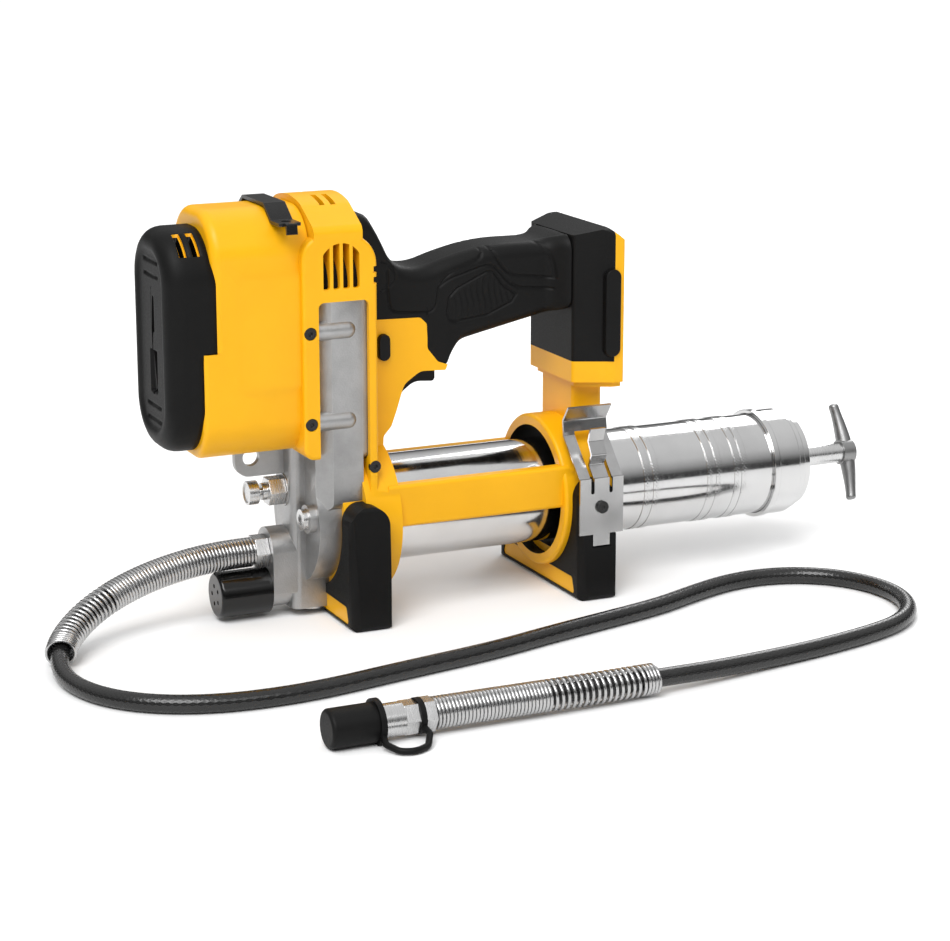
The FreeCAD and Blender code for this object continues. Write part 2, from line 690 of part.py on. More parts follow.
# ==== motor ====================================================================
def motor_can():
    can = tube_x(*MOTOR_X, MOTOR_R, MOTOR_R - 1.5, MOTOR_Z)
    nose = tube_x(MOTOR_X[0], MOTOR_X[0] + 1.5, MOTOR_R, BEARING_R, MOTOR_Z)
    cup = tube_x(MOTOR_X[0] - 4, MOTOR_X[0] + 1.5, BEARING_R + 1.5, BEARING_R, MOTOR_Z)
    return union([can, nose, cup])


def motor_magnets():
    inner = 17.4
    ring = tube_x(MOTOR_X[0] + 9, MOTOR_X[1] - 8, MOTOR_R - 1.5, inner, MOTOR_Z)
    gap = box(MOTOR_X, (-3, 3), (MOTOR_Z - MOTOR_R, MOTOR_Z + MOTOR_R))
    return group(ring.cut(gap).Solids)


def motor_bearings():
    front = MOTOR_X[0] - BEARING_WIDTH
    back = CASE_X[0]
    return group([
        tube_x(front, front + BEARING_WIDTH, BEARING_R, MOTOR_SHAFT_R + RUN, MOTOR_Z),
        tube_x(back, back + BEARING_WIDTH, BEARING_R, MOTOR_SHAFT_R + RUN, MOTOR_Z),
    ])


def brush_card():
    x = MOTOR_X[0] + 3
    card = tube_x(x, x + 1.6, MOTOR_R - 1.6, 9, MOTOR_Z)
    holders = [box((x + 1.6, x + 6), (-3, 3), (MOTOR_Z + lo, MOTOR_Z + hi))
               for lo, hi in ((9.5, 20), (-20, -9.5))]
    return union([card] + holders)


def armature():
    core = rod_x(MOTOR_X[0] + 11, MOTOR_X[1] - 10, 16.8, MOTOR_Z)
    for k in range(10):
        angle = 2 * math.pi * k / 10
        slot = rod_x(MOTOR_X[0], MOTOR_X[1], 1.6, MOTOR_Z + 16 * math.sin(angle), 16 * math.cos(angle))
        core = core.cut(slot)
    commutator = rod_x(MOTOR_X[0] + 3, MOTOR_X[0] + 11, 8.4, MOTOR_Z)
    return union([core, commutator]).cut(rod_x(-300, 0, MOTOR_SHAFT_R, MOTOR_Z))


def motor_shaft():
    return rod_x(MOTOR_X[0] - 4.5, IDLER_WHEEL_X[1] + 0.4, MOTOR_SHAFT_R, MOTOR_Z)


def motor_fan():
    low = MOTOR_X[1] + 0.6
    hub = tube_x(low, low + 3.2, 7, MOTOR_SHAFT_R, MOTOR_Z)
    plate = tube_x(low, low + 1, 22.5, 6, MOTOR_Z)
    blades = []
    for k in range(9):
        blade = box((low, low + 3.2), (6.5, 22), (MOTOR_Z - 0.6, MOTOR_Z + 0.6))
        blade.rotate(V(0, 0, MOTOR_Z), X, 360 * k / 9)
        blades.append(blade)
    return union([hub, plate] + blades)


# ==== motor housing and its cap ================================================
def housing_envelope(inset=0.0, front=HOUSING_X[0]):
    return panel(
        (front, HOUSING_X[1]), HOUSING_HALF - inset, (HOUSING_Z[0] + inset, HOUSING_Z[1] - inset),
        HOUSING_CORNER - 4 - inset, HOUSING_CORNER - inset,
    )


def cap_envelope(inset=0.0):
    nose = (CAP_NOSE_X + inset, CAP_SEAM_X)
    block = panel(nose, CAP_HALF - inset, (CAP_Z[0] + inset, CAP_Z[1] - inset), CAP_CORNER - inset)
    low = box((HOUSING_X[0], CAP_SEAM_X + 1), (-50, 50), (0, CAP_SEAM_Z))
    return block.cut(low)


def label_pad(side):
    """Low raised panel with broad chamfers, on one side of the housing."""
    wires = []
    for depth, inset in ((-2, 0), (0, 0), (PAD_HEIGHT, PAD_CHAMFER)):
        y = side * (HOUSING_HALF + depth)
        front, low, high = PAD_X[0] + inset, PAD_Z[0] + inset, PAD_Z[1] - inset
        corners = [V(front, y, low), V(PAD_X[1], y, low), V(PAD_X[1], y, high), V(front, y, high)]
        wires.append(Part.Wire(rounded_edges(corners, [4, 0, 0, 4], True)))
    return Part.makeLoft(wires, True, True)


def motor_housing():
    upper = housing_envelope(0, HOUSING_UPPER_X)
    upper = soften(upper, HOUSING_UPPER_ROUND, edge_in_plane("x", HOUSING_UPPER_X))
    lower = soften(housing_envelope(), HOUSING_LOWER_ROUND, edge_in_plane("x", HOUSING_X[0]))
    lower = lower.cut(box((HOUSING_X[0] - 1, HOUSING_UPPER_X + 5), (-60, 60), (CAP_SEAM_Z, 240)))
    shell = union([upper, lower, label_pad(-1), label_pad(1)])
    shell = shell.cut(cap_envelope())
    inner = housing_envelope(HOUSING_WALL)
    inner.translate(X * 3)
    wall_back = HOUSING_UPPER_X + HOUSING_WALL
    step = box((HOUSING_X[0], wall_back), (-60, 60), (CAP_SEAM_Z - HOUSING_WALL, 240))
    shell = shell.cut(inner.cut(step))
    front = panel(
        (HOUSING_X[0] - 1, wall_back + 1), CAP_HALF - 4, (CAP_Z[0] + 4, CAP_Z[1] - 4), CAP_CORNER - 4
    )
    for x, z in SIDE_SCREWS[:2]:
        shell = shell.cut(rod(Y, -60, 0, SIDE_SCREW_R, (x, 0, z)))
    return shell.cut(front)


def motor_end_cap():
    cap = cap_envelope()
    cap = soften(cap, 4.0, edge_in_plane("x", CAP_NOSE_X))
    cap = cap.cut(cap_envelope(3.0))
    low, high = CAP_VENT_Z
    for x in CAP_VENT_X:
        end = x + CAP_VENT_WIDTH
        for side in (-1, 1):
            slot = slab("xz", [(x, low, 1.5), (end, low, 1.5), (end, high), (x, high)], 12, 40)
            cap = cap.cut(slot if side > 0 else mirror_y(slot))
    for z in (113, 119, 189, 195):
        groove = box((CAP_NOSE_X - 1, CAP_NOSE_X + 1.2), (-11, 11), (z, z + 2))
        cap = cap.cut(groove)
    window = box((CAP_NOSE_X - 1, CAP_NOSE_X + 1.5), (-5, 5), (128, 148))
    slot = box((CAP_NOSE_X - 1, CAP_NOSE_X + 1.0), (-3, 1), (158, 177))
    return cap.cut(window).cut(slot)


def ribbon(points, thickness):
    """Outline of a bent sheet: the points on one side, their offsets on the other."""
    flat = [V(p[0], p[1], 0) for p in points]
    outer = []
    for k, point in enumerate(flat):
        normals = []
        for a, b in ((k - 1, k), (k, k + 1)):
            if a >= 0 and b < len(flat):
                along = (flat[b] - flat[a]).normalize()
                normals.append(V(-along.y, along.x, 0))
        mean = normals[0] if len(normals) == 1 else (normals[0] + normals[1]).normalize()
        scale = thickness / mean.dot(normals[0])
        outer.append(point + mean * scale)
    bends = [0] + [1.0] * (len(points) - 2) + [0]
    near = [(p.x, p.y, r) for p, r in zip(flat, bends)]
    far = [(p.x, p.y, r) for p, r in zip(outer, bends)]
    return near + far[::-1]


def strap_bracket():
    """Bent steel strap over the housing, with a holed ear on each side."""
    path = [(39.7, BRACKET_HOOK_Z), (39, 213.6), (25.5, 213.6), (15, 221.2),
            (-15, 221.2), (-25.5, 213.6), (-39, 213.6), (-39.7, BRACKET_HOOK_Z)]
    strap = slab("yz", ribbon(path[::-1], BRACKET_SHEET), *BRACKET_X)
    front, back = BRACKET_X
    heights = (200, 230)
    for y in ((BRACKET_HOOK_Y, 45), (-45, -BRACKET_HOOK_Y)):
        for x in ((front - 1, front + 3), (back - 3, back + 1)):
            strap = strap.cut(box(x, y, heights))
    half = BRACKET_HALF
    plan = [(front, -half, 4), (back, -half, 4), (back, half, 4), (front, half, 4)]
    strap = strap.common(slab("xy", plan, *heights))
    strap = strap.cut(housing_envelope())
    for side in (-1, 1):
        strap = strap.cut(rod(Z, 205, 225, 2.4, (-150, side * 32, 0)))
    return strap


# ==== handle, frame and battery bay ============================================
HANDLE = [
    (-104, 214), (-99, 213.5, 2), (-92, 202, 20), (-84.5, 185.5, 10), (-68.5, 182, 30),
    (-50, 188, 50), (-27.5, 192.6, 60), (2, 192.2, 8), (12, 195.2), (21, 197),
    (21, 157), (1.5, 152, 14), (-33.5, 144.7, 60), (-46, 142, 8), (-52, 136, 8),
    (-55.5, 127.5, 1), (-70, 128.3, 8), (-79.5, 122, 8), (-84, 108, 4),
    (-87, 100, 4), (-91.5, 95, 3), (-92, 84), (-104, 84),
]
GRIP_REGION = [
    (-104, 158), (-70, 157, 3), (-66, 153, 3), (-66, 140, 4), (-60, 132.5, 3),
    (-53, 130), (0, 130), (BAY_X[0], 130), (BAY_X[0], 230), (-104, 230),
]


def handle_slab(inset, half):
    """Side silhouette of the handle and switch housing, inset evenly."""
    face = slab("xz", HANDLE, 0, 1).Faces
    side = min(face, key=lambda f: f.CenterOfMass.y)
    if inset > 0:
        side = side.makeOffset2D(-inset)
    solid = side.extrude(Y * (2 * half))
    solid.translate(Y * (-half - side.BoundBox.YMin))
    return solid


def handle_envelope():
    """Outer skin of the handle with rounded edges."""
    solid = handle_slab(0, GRIP_HALF)
    middle = box(GRIP_ROUND_X, (-GRIP_HALF - 1, GRIP_HALF + 1), (100, 230))
    ends = solid.cut(middle)
    grip = solid.common(middle)

    def long_edge(edge):
        b = edge.BoundBox
        return b.YLength < 0.01 and abs(abs(b.YMin) - GRIP_HALF) < 0.01 and b.XLength > 0.01
    return union([ends, soften(grip, GRIP_ROUND, long_edge)])


def bay_plan(inset=0.0, behind=0.0):
    """Plan of the battery bay, inset at its front and sides."""
    front, rear = BAY_X[0] + inset, BAY_X[1] + behind
    half = BAY_HALF - inset
    return [
        (front, -26.2 + inset, 3), (31.5, -33.7 + inset, 4), (35.5, -half, 3), (rear, -half, 1.5),
        (rear, half, 1.5), (35.5, half, 3), (31.5, 33.7 - inset, 4), (front, 26.2 - inset, 3),
    ]


def roof_cut(drop):
    """What lies above the bay's roof, lowered by drop; it falls away from a ridge across the bay."""
    high = 240
    top = BAY_Z[1] - drop
    front, rear = BAY_X[0] - 10, BAY_X[1] + 10
    wide = BAY_HALF + 1
    keep = slab("yz", [
        (-wide, 100), (wide, 100), (wide, top, BAY_ROOF_ROUND), (-wide, top, BAY_ROOF_ROUND),
    ], front - 1, rear + 1)
    corners = box((front, rear), (-60, 60), (100, high)).cut(keep)
    front_slope = ROOF_FRONT_DROP / (ROOF_RIDGE_X - BAY_X[0])
    rear_slope = ROOF_REAR_DROP / (BAY_X[1] - ROOF_RIDGE_X)
    above = slab("xz", [
        (front, top - front_slope * (ROOF_RIDGE_X - front)), (ROOF_RIDGE_X, top),
        (rear, top - rear_slope * (rear - ROOF_RIDGE_X)), (rear, high), (front, high),
    ], -60, 60)
    return union([corners, above])


def bay_envelope():
    foot = slab("xy", bay_plan(BAY_STEP), BAY_Z[0], BAY_Z[0] + BAY_STEP)
    block = slab("xy", bay_plan(), BAY_Z[0] + BAY_STEP, BAY_Z[1])
    return union([foot, block]).cut(roof_cut(0))


def bay_cavity():
    """Space for the battery's foot, open to the rear."""
    return slab("xy", bay_plan(BAY_SKIN + SHELL, 1.0), BAY_FLOOR_Z, BAY_Z[1]).cut(roof_cut(5))


def bay_overmould():
    region = box((BAY_X[0] - 1, BAY_RIM_X), (-60, 60), (BAY_SKIN_Z, 210))
    skin = bay_envelope().common(region)
    core = slab("xy", bay_plan(BAY_SKIN), BAY_Z[0], BAY_Z[1] + 1).cut(roof_cut(BAY_SKIN))
    return skin.cut(core).cut(handle_slab(SKIN, GRIP_HALF - SKIN))


def bay_bumpers():
    """Rubber bars that stand proud of the bay's sides."""
    outline = [(BUMPER_X[0], BUMPER_Z[0], 4.4), (BUMPER_X[1], BUMPER_Z[0], 4.4),
               (BUMPER_X[1], BUMPER_Z[1], 4.4), (BUMPER_X[0], BUMPER_Z[1], 4.4)]
    bar = slab("xz", outline, -BAY_HALF - 1.6, -30).cut(bay_envelope())
    return group([bar, mirror_y(bar)])


def grip_overmould():
    region = slab("xz", GRIP_REGION, -GRIP_HALF - 2, GRIP_HALF + 2)
    lobe_z = (FRAME_Z[1] - GRIP_LOBE_DEPTH, HANDLE[0][1])
    lobe = box((VENT_X[1], HANDLE[0][0] + 1), (-GRIP_HALF, GRIP_HALF), lobe_z)
    skin = union([handle_envelope().common(region), lobe])
    for solid in (handle_slab(SKIN, GRIP_HALF - SKIN), bay_envelope(), frame_block(), vent_cover_block()):
        skin = skin.cut(solid)
    return max(skin.Solids, key=lambda s: s.Volume)


def frame_block():
    """Yellow frame round the gear case, before its inside is cleared."""
    sides = slab("xz", [
        (FRAME_X[0], HOUSING_Z[0] - 2, 6), (CASE_X[0], HOUSING_Z[0] - 2), (CASE_X[0], WINDOW_Z[1], 3),
        (-107.5, WINDOW_Z[1], 3), (-107.5, FRAME_Z[0]), (FRAME_X[1], FRAME_Z[0]),
        (FRAME_X[1], FRAME_Z[1], 16), (FRAME_X[0], FRAME_Z[1], 11),
    ], -FRAME_HALF, FRAME_HALF)

    def side_edge(edge):
        b = edge.BoundBox
        return b.YMax - b.YMin < 0.01 and b.ZMin > WINDOW_Z[1] + 1
    return soften(sides, 2.0, side_edge)


def vent_cover_block():
    """Crowned top cover over the frame."""
    crown = slab("yz", [
        (-37, FRAME_Z[1] - 3), (37, FRAME_Z[1] - 3), (37, 210.6, 5), (18, 221.5, 20),
        (0, VENT_TOP + 0.8, 60), (-18, 221.5, 20), (-37, 210.6, 5),
    ], *VENT_X)
    return crown.cut(frame_block())


def top_vent_cover():
    cover = vent_cover_block().cut(housing_envelope())
    hollow = slab("yz", [
        (-34.5, 150), (34.5, 150), (34.5, 209, 3), (17, 218.7, 18), (0, VENT_TOP - 2.2, 60),
        (-17, 218.7, 18), (-34.5, 209, 3),
    ], VENT_X[0] + 2.5, VENT_X[1] - 2.5)
    cover = cover.cut(hollow)
    for x in COVER_SLOT_X:
        for side in (-1, 1):
            slot = box((x, x + COVER_SLOT_WIDTH), COVER_SLOT_Y, (200, 230))
            cover = cover.cut(slot if side > 0 else mirror_y(slot))
    return max(cover.Solids, key=lambda s: s.Volume)


def foot_shape(x):
    """Outside of a foot block."""
    front = slab("yz", [
        (-FOOT_HALF, 0, 3), (FOOT_HALF, 0, 3),
        (FOOT_TOP_HALF, FOOT_TOP_Z, 3), (-FOOT_TOP_HALF, FOOT_TOP_Z, 3),
    ], *x)
    side = slab("xz", [
        (x[0], 0, 3), (x[1], 0, 3), (x[1], FOOT_TOP_Z, 10.5), (x[0], FOOT_TOP_Z, 10.5),
    ], -60, 60)
    plan = slab("xy", [
        (x[0], -FOOT_HALF, 7), (x[1], -FOOT_HALF, 2), (x[1], FOOT_HALF, 2), (x[0], FOOT_HALF, 7),
    ], -1, FOOT_TOP_Z + 1)
    return front.common(side).common(plan)


def foot_core(x):
    """Yellow plastic inside a foot; its front panel shows under the ring."""
    return slab("yz", [
        (-PANEL_HALF - 4, PANEL_Z[0], 2), (PANEL_HALF + 4, PANEL_Z[0], 2),
        (PANEL_HALF - 2, 20), (-PANEL_HALF + 2, 20),
    ], x[0] + 0.6, x[1] - SHELL).cut(box((x[0] - 1, x[0] + 3), (-60, 60), (PANEL_Z[1], 60)))


def rings():
    front = rod_x(*FRONT_RING_X, RING_R, BARREL_Z)
    collar = tube_x(FRONT_FOOT_X[0] + 2, FRONT_RING_X[0], SOCKET_R + 3, SOCKET_R - 1, BARREL_Z)
    front = union([front, collar]).cut(rod_x(-130, -80, BARREL_R + FREE, BARREL_Z))
    rear = rod_x(*REAR_RING_X, RING_R, BARREL_Z)
    rear = soften(rear, 2.0, edge_in_plane("x", REAR_RING_X[0]))
    return [front, rear.cut(rod_x(0, 40, RING_BORE, BARREL_Z))]


def rails():
    bars = []
    for side in (-1, 1):
        y = (RAIL_Y[0], RAIL_Y[1]) if side > 0 else (-RAIL_Y[1], -RAIL_Y[0])
        bar = box((FRONT_RING_X[1] - 6, REAR_RING_X[0] + 4), y, RAIL_Z)
        outer = side * RAIL_Y[1]
        bars.append(soften(bar, 2.0, lambda e, o=outer: abs(e.BoundBox.YMin - o) < 0.01
                           and abs(e.BoundBox.YMax - o) < 0.01 and e.BoundBox.XLength > 10))
    return bars


def post():
    plan = [(POST_X[0], -POST_HALF, 2), (POST_X[1], -21, 2), (POST_X[1], 21, 2), (POST_X[0], POST_HALF, 2)]
    return slab("xy", plan, POST_BOTTOM, BAY_Z[0] + 4)


def clamshell():
    """Both halves of the main casing, still in one piece."""
    region = slab("xz", GRIP_REGION, -GRIP_HALF - 2, GRIP_HALF + 2)
    grip_core = handle_slab(SKIN, GRIP_HALF - SKIN)
    front_part = handle_envelope().cut(region).common(box((-110, -50), (-40, 40), (60, 240)))
    bay = bay_envelope().cut(bay_overmould())
    body = union([frame_block(), front_part, grip_core, bay, post()] + rings() + rails()
                 + [foot_core(FRONT_FOOT_X), foot_core(REAR_FOOT_X)])
    inner = SKIN + SHELL
    half = GRIP_HALF - inner
    clear = [
        casting_envelope(), housing_envelope(),
        strap_lug(),
        vent_cover_block(),
        rod(Z, -1, 8, 10, (PUMP_X, 0, 0)),
        panel((CASE_X[0], COVER_REAR + 2.2), CASE_HALF, (CASE_FLOOR_Z - 4, CASE_Z[1]), 4, CASE_CORNER),
        panel((HOUSING_X[1] - 1, CASE_X[0] + 1), HOUSING_HALF - HOUSING_WALL,
              (HOUSING_Z[0] + HOUSING_WALL, FRAME_Z[1] + 5), HOUSING_CORNER - 6, HOUSING_CORNER - 6),
        handle_slab(inner, half),
        box((-104, -96), (-half, half), (150, 196)),
        bay_cavity(),
        box((POST_X[0] + SHELL, POST_X[1] - SHELL), (-POST_HALF + SHELL, POST_HALF - SHELL),
            (POST_BOTTOM + 8, 122)),
        box((-84.6, -56.2), (-TRIGGER_HALF - FREE, TRIGGER_HALF + FREE), (100, 150)),
        rod_x(-120, 60, BARREL_R + FREE, BARREL_Z),
        lock_shape(-60, 60, SEAT),
    ]
    clear += [vent_slot(x) for x in VENT_SLOT_X]
    rear = (FRAME_X[1] - 2.2, FRAME_X[1] + 1)
    clear += [box(rear, (-60, 60), (z, z + REAR_SLOT_HEIGHT)) for z in REAR_SLOT_Z]
    for piece in clear:
        body = body.cut(piece)
    for x, z in SIDE_SCREWS:
        body = body.cut(rod(Y, -60, -FRAME_HALF + SCREW_SINK, SIDE_HEAD_R + 2 * SEAT, (x, 0, z)))
        body = body.cut(rod(Y, -60, 60, SIDE_SCREW_R, (x, 0, z)))
    return body


def vent_slot(x):
    """One upright air slot through both sides of the frame; the four end in an arch."""
    upright = slab("xz", [
        (x, 179.5, 1), (x + VENT_SLOT_WIDTH, 179.5, 1), (x + VENT_SLOT_WIDTH, 210), (x, 210),
    ], -60, 60)
    arch = union([
        rod(Y, -61, 61, VENT_ARCH_R, (VENT_ARCH[0], 0, VENT_ARCH[1])),
        box((VENT_ARCH[0] - VENT_ARCH_R, VENT_ARCH[0] + VENT_ARCH_R), (-61, 61), (170, VENT_ARCH[1])),
    ])
    return upright.common(arch)


def half_casing(side):
    """One half of the casing, cut at the plane of symmetry."""
    keep = box((-300, 300), (0, 100) if side > 0 else (-100, 0), (-10, 300))
    solids = clamshell_cache().common(keep).Solids
    return max(solids, key=lambda s: s.Volume)


CACHE = {}


def clamshell_cache():
    if "clamshell" not in CACHE:
        CACHE["clamshell"] = clamshell()
    return CACHE["clamshell"]


def housing_screws():
    """Screws that hold the casing halves together, driven from the left."""
    screws = []
    for x, z in SIDE_SCREWS:
        seat = -FRAME_HALF + SCREW_SINK
        head = rod(Y, seat - 2.2, seat, SIDE_HEAD_R, (x, 0, z))
        shank = rod(Y, seat, -HOUSING_HALF + HOUSING_WALL, SIDE_SCREW_R, (x, 0, z))
        socket = rod(Y, -FRAME_HALF, seat - 1, 1.3, (x, 0, z))
        screws.append(union([head, shank]).cut(socket))
    return group(screws)


def foot_pad(x, others):
    pad = foot_shape(x)
    window = slab("yz", [
        (-PANEL_HALF - 4, PANEL_Z[0], 2), (PANEL_HALF + 4, PANEL_Z[0], 2),
        (PANEL_HALF + 1, PANEL_Z[1], 2), (-PANEL_HALF - 1, PANEL_Z[1], 2),
    ], x[0] - 1, x[0] + 1)
    for solid in [rod_x(*FRONT_RING_X, RING_R, BARREL_Z), rod_x(*REAR_RING_X, RING_R, BARREL_Z),
                  rod_x(FRONT_FOOT_X[0] - 1, FRONT_RING_X[0], SOCKET_R + 3, BARREL_Z),
                  foot_core(x), window] + others:
        pad = pad.cut(solid)
    return max(pad.Solids, key=lambda s: s.Volume)


def front_foot_pad():
    slot = box((FRONT_FOOT_X[0] - 1, COLUMN_X[1] + SEAT), (-COLUMN_HALF - SEAT, COLUMN_HALF + SEAT),
               (COLUMN_Z[0] - 3, 60))
    plug_hole = rod(Z, -1, 8, 10, (PUMP_X, 0, 0))
    return foot_pad(FRONT_FOOT_X, [slot, plug_hole, casting_envelope(), clamshell_cache()])


def rear_foot_pad():
    seat = box((CLIP_X[0] - 0.5, CLIP_X[1] + 0.5), (-60, CLIP_Y), (CLIP_Z[0] - 0.5, 80))
    tab = box((CLIP_MIDDLE - 5.5, CLIP_MIDDLE + 5.5), (-60, CLIP_Y), (CLIP_Z[0] - 7.5, CLIP_Z[0] + 1))
    hole = rod(Y, CLIP_Y - 3, CLIP_Y + 7, CLIP_SCREW_R + SEAT, (CLIP_MIDDLE, 0, CLIP_SCREW_Z))
    return foot_pad(REAR_FOOT_X, [seat, tab, hole, clamshell_cache()])


def coupler_clip():
    """Spring steel clip that parks the coupler on the rear ring's left side."""
    back = CLIP_Y
    low, high = CLIP_Z
    plate = box(CLIP_X, (back - CLIP_SHEET, back), (low, high))
    tab = box((CLIP_MIDDLE - 5, CLIP_MIDDLE + 5), (back - CLIP_SHEET, back), (low - 6.5, low))
    loop = [(back, high - 1), (back, high), (11 - RING_R, 88), (12 - RING_R, 96), (6 - RING_R, 104)]
    tongue = [(back, high - 1), (back, high), (back + 5.5, 74), (back + 2.5, 80),
              (back + 6.5, 87), (back + 4, 94)]
    bends = []
    for x in (CLIP_X[0], CLIP_X[1] - CLIP_LEG):
        bends.append(slab("yz", ribbon(loop[::-1], CLIP_SHEET), x, x + CLIP_LEG))
    lip = [(10.8 - RING_R, 90), (12 - RING_R, 96), (6 - RING_R, 104)]
    bends.append(slab("yz", ribbon(lip[::-1], CLIP_SHEET), *CLIP_X))
    half = CLIP_TONGUE / 2
    bends.append(slab("yz", ribbon(tongue[::-1], CLIP_SHEET), CLIP_MIDDLE - half, CLIP_MIDDLE + half))
    clip = union([plate, tab] + bends)
    for x in (CLIP_X[0] + CLIP_LEG, CLIP_MIDDLE + half):
        gap = x + (CLIP_MIDDLE - half - CLIP_X[0] - CLIP_LEG)
        slot = [(x, CLIP_SLOT_Z, 0.9), (gap, CLIP_SLOT_Z, 0.9), (gap, high), (x, high)]
        clip = clip.cut(slab("xz", slot, -60, back + 1))
    return clip.cut(rod(Y, -60, -40, CLIP_SCREW_R, (CLIP_MIDDLE, 0, CLIP_SCREW_Z)))


def clip_screw():
    front = CLIP_Y - CLIP_SHEET
    place = (CLIP_MIDDLE, 0, CLIP_SCREW_Z)
    shank = rod(Y, front, CLIP_Y + 6.5, CLIP_SCREW_R, place)
    head = rod(Y, front - 1.6, front, 2 * CLIP_SCREW_R, place)
    return union([head, shank]).cut(rod(Y, front - 2, front - 0.8, 1.3, place))


# ==== switch, trigger and battery terminals ====================================
def trigger():
    outline = [
        (-57, 119.5, 2), (-69, 120.5, 10), (-76.5, 115, 10), (-81.5, 104.5, 1), (-84, 107, 1),
        (-83.5, 124, 2), (-78, 140), (-62, 140), (-60, 134, 2), (-57, 132, 1),
    ]
    return slab("xz", outline, -TRIGGER_HALF, TRIGGER_HALF)


def lock_shape(lo, hi, grow=0.0):
    """Pill section of the lock button, between two values of y."""
    half = 3.2 + grow
    reach = 7.0 + grow
    return slab("xz", [
        (LOCK_X - half, LOCK_Z - reach, half - 0.1), (LOCK_X + half, LOCK_Z - reach, half - 0.1),
        (LOCK_X + half, LOCK_Z + reach, half - 0.1), (LOCK_X - half, LOCK_Z + reach, half - 0.1),
    ], lo, hi)


def lock_button():
    return lock_shape(-GRIP_HALF - 3, GRIP_HALF - 0.5)


def switch_module():
    return box((-86.5, -60), (-9, 9), (147.5, 168))


def terminal_block():
    """Battery interface: two upright rails with undercuts and the contact carrier."""
    front = BAY_X[0] + 8
    back = front + 4
    base = box((front, back), (-23, 23), RAIL_SPAN)
    carrier = box((back, 32), (-15, 15), (132, 170))
    parts = [base, carrier]
    for side in (-1, 1):
        web = box((back, 36.5), (20.5, 23), RAIL_SPAN)
        lip = box((36.5, 39.5), (20.5, 25.5), RAIL_SPAN)
        rail = union([web, lip])
        parts.append(rail if side > 0 else mirror_y(rail))
    return union(parts)


def terminal_blades():
    half = BLADE_THICKNESS / 2
    return group([box((32, 38.5), (y - half, y + half), (138, 164)) for y in BLADE_Y])


# ==== barrel, cap, follower and rod ============================================
def barrel_tube():
    shape = rod_x(BARREL_FRONT, BARREL_REAR, BARREL_R, BARREL_Z)
    bands = [rod_x(x - BAND_WIDTH / 2, x + BAND_WIDTH / 2, BARREL_R + BAND_HEIGHT, BARREL_Z)
             for x in BAND_X]
    bore = rod_x(BARREL_FRONT - 1, BARREL_REAR + 1, BARREL_R - BARREL_WALL, BARREL_Z)
    return union([shape] + bands).cut(bore)


def end_cap():
    """Stepped screw cap; the rod turns and slides in its hub."""
    steps = [
        rod_x(CAP_FRONT, CAP_FRONT + 3.7, CAP_RIM_R, BARREL_Z),
        rod_x(CAP_FRONT + 3.7, CAP_STEP_X[0], CAP_BODY_R, BARREL_Z),
        rod_x(CAP_STEP_X[0], CAP_STEP_X[1], CAP_STEP_R[0], BARREL_Z),
        rod_x(CAP_STEP_X[1], CAP_STEP_X[2], CAP_STEP_R[1], BARREL_Z),
        rod_x(CAP_STEP_X[2], CAP_REAR - 3, 16, BARREL_Z),
        rod_x(CAP_REAR - 3, CAP_REAR, 10, BARREL_Z),
    ]
    cap = union(steps)
    cap = cap.cut(rod_x(CAP_FRONT - 1, BARREL_REAR + 0.2, BARREL_R + RUN, BARREL_Z))
    cap = cap.cut(rod_x(BARREL_REAR, CAP_STEP_X[2] - CAP_WALL, CAP_STEP_R[1] - CAP_WALL, BARREL_Z))
    return cap.cut(rod_x(0, CAP_REAR + 1, ROD_R + RUN, BARREL_Z))


def follower_cup():
    """Rubber cup that wipes the barrel, open towards the rod."""
    reach = BARREL_R - BARREL_WALL - RUN
    cup = rod_x(FOLLOWER_X, FOLLOWER_X + FOLLOWER_LENGTH, reach, BARREL_Z)
    cup = soften(cup, 3.0, edge_in_plane("x", FOLLOWER_X))
    return cup.cut(rod_x(FOLLOWER_X + 3, FOLLOWER_X + FOLLOWER_LENGTH + 1, reach - 2.5, BARREL_Z))


def follower_plate():
    """Steel plate that carries the spring and holds the rod's end."""
    back = FOLLOWER_X + 3
    reach = BARREL_R - BARREL_WALL - RUN - 2.5
    plate = tube_x(back, back + 2.5, reach, ROD_R + RUN, BARREL_Z)
    pocket = tube_x(back + 2.5, back + 9, 9, ROD_R + RUN, BARREL_Z)
    return union([plate, pocket])


def follower_spring():
    front = FOLLOWER_X + 5.5 + SPRING_WIRE_R
    rear = CAP_STEP_X[2] - CAP_WALL - SPRING_WIRE_R
    return coil(front, rear - front, SPRING_R, SPRING_WIRE_R, SPRING_TURNS, 0, BARREL_Z)


def follower_rod():
    """Rod from the follower to the T-handle, with the latch groove near the handle."""
    body = rod_x(FOLLOWER_X + 3.2, STEM_REAR, ROD_R, BARREL_Z)
    stem = rod_x(CAP_REAR + 0.5, STEM_REAR + 2, STEM_R, BARREL_Z)
    groove = tube_x(ROD_GROOVE_X, ROD_GROOVE_X + 2.5, STEM_R + 1, STEM_R - 1.2, BARREL_Z)
    return union([body, stem]).cut(groove)


